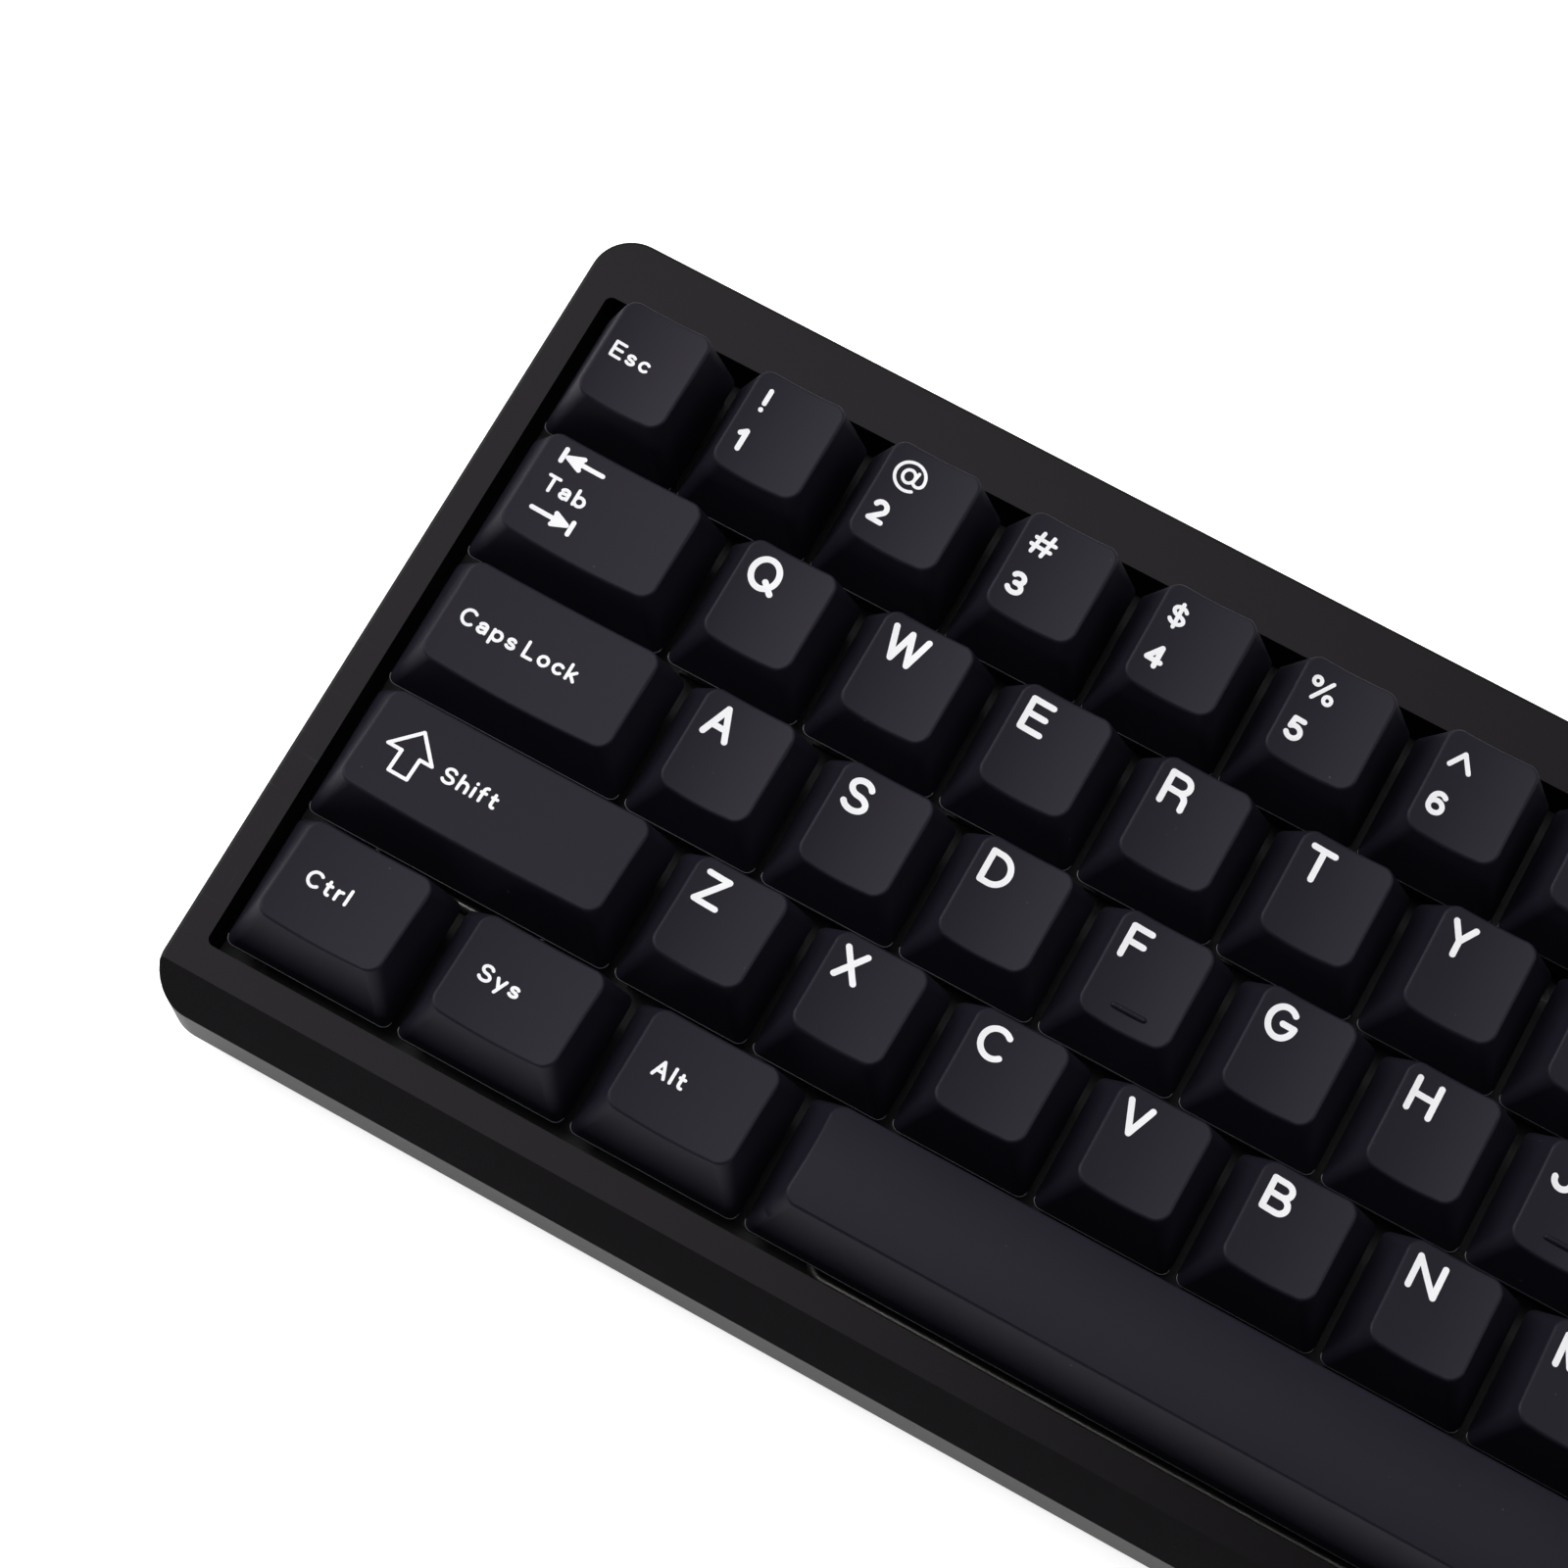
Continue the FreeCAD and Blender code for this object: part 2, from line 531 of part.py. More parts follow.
def stabiliser_wire(key):
    """The bent wire that joins the two stems of a wide key, with its arms raised."""
    reach = key.stems()[1]
    bend = WIRE_BEND
    cut = bend * (1 - math.sqrt(0.5))
    tip = WIRE_ARM
    path = Part.Wire([
        Part.LineSegment(Vector(-reach, tip, 0), Vector(-reach, bend, 0)).toShape(),
        Part.Arc(Vector(-reach, bend, 0), Vector(cut - reach, cut, 0), Vector(bend - reach, 0, 0)).toShape(),
        Part.LineSegment(Vector(bend - reach, 0, 0), Vector(reach - bend, 0, 0)).toShape(),
        Part.Arc(Vector(reach - bend, 0, 0), Vector(reach - cut, cut, 0), Vector(reach, bend, 0)).toShape(),
        Part.LineSegment(Vector(reach, bend, 0), Vector(reach, tip, 0)).toShape(),
    ])
    ring = Part.Wire(Part.makeCircle(WIRE_DIAMETER / 2, Vector(-reach, tip, 0), Vector(0, 1, 0)))
    wire = path.makePipeShell([ring], True, True)
    wire.rotate(Vector(0, 0, 0), Vector(1, 0, 0), WIRE_ANGLE)
    wire.translate(Vector(key.x, key.y - WIRE_OFFSET, WIRE_Z))
    return wire


# ---------------------------------------------------------------- plate and circuit board
def board_screw_places():
    """Centres of the screws that hold the board, in the corridors between the rows."""
    return [(column * UNIT - GRID_WIDTH / 2, row * UNIT) for column, row in BOARD_SCREW_CELLS]


def switch_plate(keys):
    """The steel plate that the switches and stabilisers snap into."""
    bottom = PLATE_TOP - PLATE_THICKNESS
    plate = grid_prism(PLATE_MARGIN, PLATE_CORNER, bottom, PLATE_TOP)
    cutters = []
    for key in keys:
        cutters.append(centred_box(CUTOUT, CUTOUT, bottom, PLATE_TOP, key.x, key.y))
        for stem in key.stems():
            x = key.x + stem
            half = STAB_X / 2 + STAB_FIT
            cutters.append(box(x - half, x + half, key.y - STAB_FRONT - STAB_FIT,
                               key.y + STAB_BACK + STAB_FIT, bottom, PLATE_TOP))
            notch = HOOK_SLOT_X / 2 + STAB_FIT
            cutters.append(box(x - notch, x + notch, key.y - WIRE_OFFSET + WIRE_DIAMETER / 2 + WIRE_FIT,
                               key.y - STAB_FRONT, bottom, PLATE_TOP))
    for x, y in board_screw_places():
        cutters.append(disc(PLATE_ACCESS_DIAMETER, bottom, PLATE_TOP, x, y))
    return [plate.cut(cutters)]


def circuit_board(keys):
    """The board, with a diode under each switch and the chips on its underside."""
    board = grid_prism(BOARD_MARGIN, BOARD_CORNER, BOARD_BOTTOM, BOARD_TOP)
    tongue = box(SOCKET_X - BOARD_TONGUE_WIDTH / 2, SOCKET_X + BOARD_TONGUE_WIDTH / 2,
                 GRID_DEPTH - UNIT / 2, BOARD_TONGUE_BACK, BOARD_BOTTOM, BOARD_TOP)
    board = board.fuse(tongue).removeSplitter()
    cutters = [disc(PIN_DIAMETER + 2 * PIN_FIT, BOARD_BOTTOM, BOARD_TOP, key.x, key.y) for key in keys]
    for x, y in board_screw_places():
        cutters.append(disc(BOARD_SCREW_DIAMETER + 2 * PIN_FIT, BOARD_BOTTOM, BOARD_TOP, x, y))
    solids = [board.cut(cutters)]
    for key in keys:
        width, depth, height = DIODE_SIZE
        solids.append(centred_box(width, depth, BOARD_BOTTOM - height, BOARD_BOTTOM,
                                  key.x + DIODE_OFFSET[0], key.y + DIODE_OFFSET[1]))
    for name, (width, depth, height) in CHIP_SIZES.items():
        x, y = CHIP_PLACES[name]
        solids.append(centred_box(width, depth, BOARD_BOTTOM - height, BOARD_BOTTOM, x, y))
    return solids


def usb_socket():
    """The socket at the back edge of the board: a flattened shell with a tongue inside."""
    middle = BOARD_TOP + SOCKET_HEIGHT / 2
    back = SOCKET_MOUTH

    def barrel(inset, y0, y1):
        half = SOCKET_WIDTH / 2 - inset
        high = SOCKET_HEIGHT / 2 - inset
        shape = rounded_prism(-half, half, -high, high, high - 0.01, 0, y1 - y0)
        shape.rotate(Vector(0, 0, 0), Vector(1, 0, 0), 90)
        shape.translate(Vector(SOCKET_X, y1, middle))
        return shape

    start = back - SOCKET_DEPTH
    shell = barrel(0.0, start, back).cut(barrel(SOCKET_WALL, start + 3 * SOCKET_WALL, back))
    width, depth, height = SOCKET_TONGUE
    tongue = box(SOCKET_X - width / 2, SOCKET_X + width / 2, start + 2 * SOCKET_WALL,
                 start + 3 * SOCKET_WALL + depth, middle - height / 2, middle + height / 2)
    return [shell.fuse(tongue).removeSplitter()]


# ---------------------------------------------------------------- case
def case_screw_places():
    """Centres of the screws that close the case: three along the front and three along the back."""
    front = CASE_FRONT + CASE_WALL + CASE_BOSS_DIAMETER / 2 + TRAY_LIP_FIT
    back = CASE_BACK - CASE_WALL - CASE_BOSS_DIAMETER / 2 - TRAY_LIP_FIT
    side = GRID_WIDTH / 2 - UNIT / 2
    return [(x, y) for y in (front, back) for x in (-side, 0.0, side)]


def foot_places():
    """Centres of the four feet."""
    side = CASE_HALF_X - FOOT_INSET_X
    return [(x, y) for y in (CASE_FRONT + FOOT_INSET_Y, CASE_BACK - FOOT_INSET_Y) for x in (-side, side)]


def socket_cutout(clear, low):
    """The opening in the back wall that a plug reaches the socket through."""
    half = SOCKET_CUT_WIDTH / 2 + clear
    return box(SOCKET_X - half, SOCKET_X + half, SOCKET_MOUTH, CASE_BACK + 1, low, SOCKET_CUT_TOP)


def top_case():
    """The bezel and skirt in one piece, with its collar round the keys and its screw bosses."""
    shell = case_prism(0.0, SKIRT_BOTTOM, BEZEL_TOP).cut(front_wedge(0.0))
    rim = [edge for edge in shell.Edges
           if edge.BoundBox.ZMin > BEZEL_TOP - 0.01 and edge.BoundBox.YMax > CASE_FRONT + FRONT_CHAMFER + 0.1]
    shell = shell.makeFillet(CASE_EDGE_ROUND, rim)
    hollow = case_prism(CASE_WALL, SKIRT_BOTTOM, BEZEL_TOP - CASE_ROOF).cut(front_wedge(CASE_WALL))
    collar_bottom = PLATE_TOP + COLLAR_GAP
    collar = grid_prism(OPENING_GAP + COLLAR_WALL, OPENING_CORNER, collar_bottom, BEZEL_TOP)
    bosses = [disc(CASE_BOSS_DIAMETER, CASE_BOSS_END, BEZEL_TOP, x, y) for x, y in case_screw_places()]
    body = shell.cut(hollow.cut([collar] + bosses))
    body = body.cut(grid_prism(OPENING_GAP, OPENING_CORNER, collar_bottom, BEZEL_TOP))
    hole = CASE_SCREW_DIAMETER + 2 * BOSS_GAP
    depth = CASE_SCREW_LENGTH - CASE_SCREW_GRIP + BOSS_GAP
    body = body.cut([disc(hole, CASE_BOSS_END, CASE_BOSS_END + depth, x, y) for x, y in case_screw_places()])
    return [body.cut(socket_cutout(0.0, SKIRT_BOTTOM))]


def bottom_case():
    """The tray: a wedge with a level floor, a lip inside the skirt, towers and standoffs."""
    deep = SKIRT_BOTTOM - 40
    tray = case_prism(TRAY_INSET, deep, SKIRT_BOTTOM).cut(below_floor(TRAY_FLOOR))
    floor_edges = [edge for edge in tray.Edges
                   if abs(tray_depth(edge.CenterOfMass) - TRAY_FLOOR) < 0.01]
    tray = tray.makeChamfer(TRAY_EDGE_BREAK, floor_edges)
    inside = case_prism(TRAY_INNER_INSET, deep, SKIRT_BOTTOM).cut(below_floor(0.0))
    seat = CASE_BOSS_END - CASE_SCREW_GRIP
    towers = [disc(TOWER_DIAMETER, deep, CASE_BOSS_END, x, y) for x, y in case_screw_places()]
    standoffs = [disc(STANDOFF_DIAMETER, deep, BOARD_BOTTOM, x, y) for x, y in board_screw_places()]
    lip_top = SKIRT_BOTTOM + TRAY_LIP_HEIGHT
    lip = case_prism(CASE_WALL + TRAY_LIP_FIT, SKIRT_BOTTOM, lip_top)
    lip = lip.cut(case_prism(TRAY_INNER_INSET, SKIRT_BOTTOM, lip_top))
    lip = lip.cut(socket_cutout(1.0, SKIRT_BOTTOM))
    reach = case_prism(CASE_WALL + TRAY_LIP_FIT, SKIRT_BOTTOM, CASE_BOSS_END)
    tower_tops = [disc(TOWER_DIAMETER, SKIRT_BOTTOM, CASE_BOSS_END, x, y).common(reach)
                  for x, y in case_screw_places()]
    body = tray.cut(inside.cut(towers + standoffs)).fuse([lip] + tower_tops)
    cutters = []
    for x, y in case_screw_places():
        cutters.append(disc(CASE_SCREW_DIAMETER + 2 * BOSS_GAP, deep, CASE_BOSS_END, x, y))
        cutters.append(disc(CASE_SCREW_HEAD + 4 * BOSS_GAP, deep, seat, x, y))
    pilot = BOARD_SCREW_LENGTH - BOARD_THICKNESS + BOSS_GAP
    for x, y in board_screw_places():
        cutters.append(disc(BOARD_SCREW_DIAMETER + 2 * BOSS_GAP, BOARD_BOTTOM - pilot, BOARD_BOTTOM, x, y))
    recess = FOOT_THICKNESS - FOOT_PROUD
    for x, y in foot_places():
        cutters.append(level_disc(FOOT_DIAMETER + 2 * FOOT_FIT, x, y, TRAY_FLOOR - recess, TRAY_FLOOR + 1))
    return [body.cut(cutters).removeSplitter()]


def tray_depth(point):
    """Depth of a point under the plane of the inside of the tray's floor, square to that plane."""
    angle = math.radians(TYPING_ANGLE)
    return -((point.y - UNIT / 2) * math.sin(angle) + (point.z - FLOOR_AT_FRONT_ROW) * math.cos(angle))


def screw(diameter, length, head, head_height):
    """A cap screw that points down, with the underside of its head on Z = 0."""
    body = disc(head, 0, head_height).fuse(disc(diameter, -length, 0)).removeSplitter()
    corners = [Vector(DRIVE_SIZE * math.cos(math.radians(60 * turn)),
                      DRIVE_SIZE * math.sin(math.radians(60 * turn)), head_height) for turn in range(7)]
    drive = Part.Face(Part.makePolygon(corners)).extrude(Vector(0, 0, -DRIVE_DEPTH))
    return body.cut(drive)


def screws():
    """The screws that close the case from below, and those that hold the board from above."""
    solids = []
    for x, y in case_screw_places():
        solid = screw(CASE_SCREW_DIAMETER, CASE_SCREW_LENGTH, CASE_SCREW_HEAD, CASE_SCREW_HEAD_HEIGHT)
        solid.rotate(Vector(0, 0, 0), Vector(1, 0, 0), 180)
        solid.translate(Vector(x, y, CASE_BOSS_END - CASE_SCREW_GRIP))
        solids.append(solid)
    for x, y in board_screw_places():
        solid = screw(BOARD_SCREW_DIAMETER, BOARD_SCREW_LENGTH, BOARD_SCREW_HEAD, BOARD_SCREW_HEAD_HEIGHT)
        solid.translate(Vector(x, y, BOARD_TOP))
        solids.append(solid)
    return solids


def rubber_feet():
    """Four round feet, stuck in recesses of the tray."""
    recess = FOOT_THICKNESS - FOOT_PROUD
    solids = []
    for x, y in foot_places():
        foot = level_disc(FOOT_DIAMETER, x, y, TRAY_FLOOR - recess, TRAY_FLOOR + FOOT_PROUD)
        low = [edge for edge in foot.Edges if tray_depth(edge.CenterOfMass) > TRAY_FLOOR + FOOT_PROUD - 0.01]
        solids.append(foot.makeFillet(FOOT_EDGE_ROUND, low))
    return solids


# ---------------------------------------------------------------- assembly
def node_of(key):
    """Name of the node that a key belongs to."""
    for node, names in KEY_GROUPS.items():
        if key.name in names:
            return node
    return "key_" + key.name


def key_solids(key):
    """The pieces that move together when a key is pressed: cap, slider and stabiliser inserts."""
    pieces = [keycap(key), slider()]
    for stem in key.stems():
        pieces.append(at(stabiliser_insert(), stem, 0))
    return [at(piece, key.x, key.y) for piece in pieces]


def build_nodes():
    """Returns the solids of every node, in the deck frame."""
    keys = lay_out_keys()
    nodes = {
        "top_case": top_case(),
        "bottom_case": bottom_case(),
        "switch_plate": switch_plate(keys),
        "circuit_board": circuit_board(keys),
        "usb_socket": usb_socket(),
        "screws": screws(),
        "rubber_feet": rubber_feet(),
    }
    for node, piece in (("switch_bottoms", switch_bottom()), ("switch_tops", switch_top()),
                        ("switch_springs", switch_spring())):
        nodes[node] = [at(piece, key.x, key.y) for key in keys]
    wide_keys = [key for key in keys if key.stems()]
    nodes["stabiliser_housings"] = [at(stabiliser_housing(stem / abs(stem)), key.x + stem, key.y)
                                    for key in wide_keys for stem in key.stems()]
    for key in wide_keys:
        nodes[key.name + "_wire"] = [stabiliser_wire(key)]
    for key in keys:
        nodes.setdefault(node_of(key), []).extend(key_solids(key))
    return nodes


def stand_on_desk(nodes):
    """Leans every solid by the typing angle, then puts the origin under the middle of the box."""
    for solids in nodes.values():
        for solid in solids:
            solid.rotate(Vector(0, 0, 0), Vector(1, 0, 0), TYPING_ANGLE)
    case = Part.makeCompound(nodes["top_case"] + nodes["bottom_case"] + nodes["rubber_feet"])
    bounds = case.optimalBoundingBox(False, False)
    shift = Vector(0, -(bounds.YMin + bounds.YMax) / 2, -bounds.ZMin)
    for solids in nodes.values():
        for solid in solids:
            solid.translate(shift)
    return shift


all_nodes = build_nodes()
desk_shift = stand_on_desk(all_nodes)
print("the deck's origin lies at", tuple(round(value, 4) for value in desk_shift))
for node_name, node_solids in all_nodes.items():
    Part.makeCompound(node_solids).exportStep("parts/" + node_name + ".step")
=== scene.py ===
import json
import logging
import math
from dataclasses import dataclass, field
from enum import Enum
from typing import Iterable, Sequence

import bpy
from mathutils import Matrix, Vector
from mathutils.bvhtree import BVHTree


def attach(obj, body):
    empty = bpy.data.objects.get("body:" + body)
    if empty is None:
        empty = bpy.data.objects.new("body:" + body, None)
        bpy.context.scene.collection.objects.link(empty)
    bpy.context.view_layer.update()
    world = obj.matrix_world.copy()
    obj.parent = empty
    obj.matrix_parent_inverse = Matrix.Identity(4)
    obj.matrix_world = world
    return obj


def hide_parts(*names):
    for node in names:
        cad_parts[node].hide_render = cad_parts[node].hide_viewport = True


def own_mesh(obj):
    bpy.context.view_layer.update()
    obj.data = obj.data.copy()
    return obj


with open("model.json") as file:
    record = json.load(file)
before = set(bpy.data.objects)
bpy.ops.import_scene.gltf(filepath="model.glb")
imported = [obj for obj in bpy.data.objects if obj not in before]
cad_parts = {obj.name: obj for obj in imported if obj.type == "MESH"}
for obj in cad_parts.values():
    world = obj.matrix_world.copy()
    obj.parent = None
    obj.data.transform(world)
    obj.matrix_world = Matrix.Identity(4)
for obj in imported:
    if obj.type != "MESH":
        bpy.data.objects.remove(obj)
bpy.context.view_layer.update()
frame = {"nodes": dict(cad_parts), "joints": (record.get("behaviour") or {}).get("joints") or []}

logging.basicConfig(level=logging.INFO, format="%(name)s: %(message)s")
LOG = logging.getLogger("keyboard")

Colour = tuple[float, float, float]
Point = tuple[float, float]
Arc = tuple[float, float, float, float, float, float]
Term = "Signal | float | Sequence[float]"

MM = 0.001
UNIT = 19.05
CAP_TOP_DEPTH = 14.25
CAP_TAPER = 6.14
SKIRT_GAP = 0.89
OUTWARD = Vector((0, 0, 1))


# ---------------------------------------------------------------- shader maths
class Signal:
    """A socket of a shader, with its arithmetic written as Python operators."""

    def __init__(self, shader: "Shader", socket: bpy.types.NodeSocket) -> None:
        """Keeps the socket with the shader that it belongs to."""
        self.shader = shader
        self.socket = socket

    def maths(self, operation: str, *terms: Term, clamp: bool = False) -> "Signal":
        """Adds one Math node.

        Args:
            operation: The node's operation.
            terms: Its inputs, in order.
            clamp: Whether the result is kept between 0 and 1.

        Returns:
            The node's value.
        """
        settings = {"operation": operation, "use_clamp": clamp}
        return self.shader.node("ShaderNodeMath", settings, dict(enumerate(terms)))

    def __add__(self, other: Term) -> "Signal":
        """Adds two values."""
        return self.maths("ADD", self, other)

    __radd__ = __add__

    def __sub__(self, other: Term) -> "Signal":
        """Takes a value away."""
        return self.maths("SUBTRACT", self, other)

    def __rsub__(self, other: Term) -> "Signal":
        """Takes this value away from a number."""
        return self.maths("SUBTRACT", other, self)

    def __mul__(self, other: Term) -> "Signal":
        """Multiplies two values."""
        return self.maths("MULTIPLY", self, other)

    __rmul__ = __mul__

    def __truediv__(self, other: Term) -> "Signal":
        """Divides by a value."""
        return self.maths("DIVIDE", self, other)

    def __gt__(self, other: Term) -> "Signal":
        """1 where this value is the greater one, 0 elsewhere."""
        return self.maths("GREATER_THAN", self, other)

    def within(self, low: float, high: float) -> "Signal":
        """Rises from 0 at the low value to 1 at the high one, and stays between them."""
        return self.maths("MULTIPLY", self - low, 1 / (high - low), clamp=True)


class Shader:
    """The node tree of one material or world."""

    def __init__(self, owner: bpy.types.Material | bpy.types.World) -> None:
        """Empties the owner's node tree."""
        owner.use_nodes = True
        self.tree = owner.node_tree
        self.tree.nodes.clear()

    def node(self, kind: str, settings: dict[str, object] | None = None,
             inputs: dict[int | str, Term] | None = None, output: int | str = 0) -> Signal:
        """Adds one node.

        Args:
            kind: The node's type.
            settings: Its settings, set first.
            inputs: The values or links of its sockets, by name or number.
            output: The socket that is wanted from it.

        Returns:
            The wanted output.
        """
        made = self.tree.nodes.new(kind)
        for name, value in (settings or {}).items():
            setattr(made, name, value)
        for key, value in (inputs or {}).items():
            socket = made.inputs[key]
            if isinstance(value, Signal):
                self.tree.links.new(value.socket, socket)
            elif socket.type == "RGBA":
                socket.default_value = (*value, 1.0) if len(value) == 3 else value
            else:
                socket.default_value = value
        return Signal(self, made.outputs[output])

    def end(self, kind: str, surface: Signal) -> None:
        """Links a surface to an output node of that type."""
        self.tree.links.new(surface.socket, self.tree.nodes.new(kind).inputs["Surface"])

    def place(self) -> Signal:
        """Where a point lies in the frame at rest, in metres."""
        return self.node("ShaderNodeTexCoord", output="Object")

    def noise(self, size: float, detail: float = 3.0,
              stretch: Sequence[float] = (1.0, 1.0, 1.0)) -> Signal:
        """Adds a noise that varies from 0 to 1.

        Args:
            size: Size of its largest features, in mm.
            detail: How many finer octaves it has.
            stretch: How many times longer it is along each axis.

        Returns:
            The noise's value.
        """
        scale = tuple(1 / part for part in stretch)
        vector = self.node("ShaderNodeVectorMath", {"operation": "MULTIPLY"},
                           {0: self.place(), 1: scale})
        inputs = {"Vector": vector, "Scale": 1 / (size * MM), "Detail": detail, "Roughness": 0.6}
        return self.node("ShaderNodeTexNoise", None, inputs, "Fac")

    def mix(self, share: Term, first: Term, second: Term) -> Signal:
        """Mixes two colours by a share of the second."""
        return self.node("ShaderNodeMix", {"data_type": "RGBA"}, {0: share, 6: first, 7: second}, 2)

    def bump(self, height: Signal, depth: float) -> Signal:
        """The normal bent by relief whose shape runs from 0 to 1 and whose depth is in mm."""
        return self.node("ShaderNodeBump", None,
                         {"Height": height, "Distance": depth * MM, "Strength": 1.0}, "Normal")

    def height_over(self, normal: Vector) -> Signal:
        """How far a point lies along a direction, in metres."""
        return self.node("ShaderNodeVectorMath", {"operation": "DOT_PRODUCT"},
                         {0: self.place(), 1: tuple(normal)}, "Value")

    def near(self, centre: Vector, reach: float) -> Signal:
        """Adds a round patch.

        Args:
            centre: Its middle, in metres.
            reach: Where it ends, in mm.

        Returns:
            1 in the middle, 0 from its end outwards.
        """
        away = self.node("ShaderNodeVectorMath", {"operation": "DISTANCE"},
                         {0: self.place(), 1: tuple(centre)}, "Value")
        return self.node("ShaderNodeMath", {"operation": "SUBTRACT", "use_clamp": True},
                         {0: 1.0, 1: away / (reach * MM)})


# ---------------------------------------------------------------- the deck that everything stands on
@dataclass(frozen=True)
class Deck:
    """The leaned key deck: X to the right, Y to the back and Z squarely out of it, in mm."""

    pivot_cell: Point = (-142.875 + 2.25 * UNIT / 2, 1.5 * UNIT - 9.0)
    pivot_level: float = -5.45

    def joint(self, name: str) -> dict:
        """The frame's joint of that name."""
        return next(joint for joint in frame["joints"] if joint["name"] == name)

    @property
    def normal(self) -> Vector:
        """Squarely out of the deck, against the way that a key is pressed."""
        return -Vector(self.joint("key_q_press")["axis"]).normalized()

    @property
    def matrix(self) -> Matrix:
        """Turns mm on the deck into metres in the frame."""
        normal = self.normal
        turn = Matrix((Vector((1, 0, 0)), normal.cross(Vector((1, 0, 0))), normal)).transposed()
        known = turn @ Vector((*self.pivot_cell, self.pivot_level)) * MM
        place = Vector(self.joint("left_shift_wire_turn")["pos_m"]) - known
        return Matrix.Translation(place) @ turn.to_4x4() @ Matrix.Scale(MM, 4)


DECK = Deck()


# ---------------------------------------------------------------- finishes
@dataclass(frozen=True)
class Finish:
    """What every finish has: its name, the slot that it fills, its colour and its roughness."""

    name: str
    slot: str
    colour: Colour
    roughness: float

    def surface(self, shader: Shader) -> dict[str, Term]:
        """The values of the surface's sockets."""
        raise NotImplementedError

    def material(self) -> bpy.types.Material:
        """Builds the material once and returns it."""
        made = bpy.data.materials.get(self.name)
        if made is None:
            made = bpy.data.materials.new(self.name)
            shader = Shader(made)
            surface = shader.node("ShaderNodeBsdfPrincipled", None, self.surface(shader))
            shader.end("ShaderNodeOutputMaterial", self.cover(shader, surface))
        return made

    def cover(self, shader: Shader, surface: Signal) -> Signal:
        """What lies over the surface: nothing, unless the finish says so."""
        return surface

    def dress(self, piece: bpy.types.Object) -> None:
        """Puts the finish on the whole of a piece."""
        piece.data.materials.clear()
        piece.data.materials.append(self.material())


@dataclass(frozen=True)
class CapPlastic(Finish):
    """Matte moulded plastic of the keycaps: fine grain, faint clouds, a few specks of dust."""

    grain: float = 0.16
    grain_depth: float = 0.006
    cloud: float = 9.0
    dust: float = 0.9
    dust_colour: Colour = (0.09, 0.09, 0.095)
    specular: float = 0.5
    gloss_tint: Colour = (0.95, 0.90, 1.0)

    def surface(self, shader: Shader) -> dict[str, Term]:
        """The values of the surface's sockets."""
        grain = shader.noise(self.grain, 4.0)
        cloud = shader.noise(self.cloud, 4.0)
        dust = shader.noise(self.dust, 2.0).within(0.775, 0.80)
        lighter = tuple(1.35 * part for part in self.colour)
        tint = shader.mix(cloud, self.colour, lighter)
        return {
            "Base Color": shader.mix(dust * 0.5, tint, self.dust_colour),
            "Roughness": self.roughness - 0.06 + 0.08 * cloud + 0.05 * grain,
            "Specular IOR Level": self.specular,
            "Specular Tint": self.gloss_tint,
            "Normal": shader.bump(grain, self.grain_depth),
        }


@dataclass(frozen=True)
class LegendPlastic(Finish):
    """White plastic of the legends, moulded through the cap."""

    grain: float = 0.14

    def surface(self, shader: Shader) -> dict[str, Term]:
        """The values of the surface's sockets."""
        grain = shader.noise(self.grain, 3.0)
        cloud = shader.noise(2.5, 2.0)
        shade = tuple(0.9 * part for part in self.colour)
        return {
            "Base Color": shader.mix(cloud, self.colour, shade),
            "Roughness": self.roughness + 0.1 * grain,
            "Normal": shader.bump(grain, 0.004),
        }


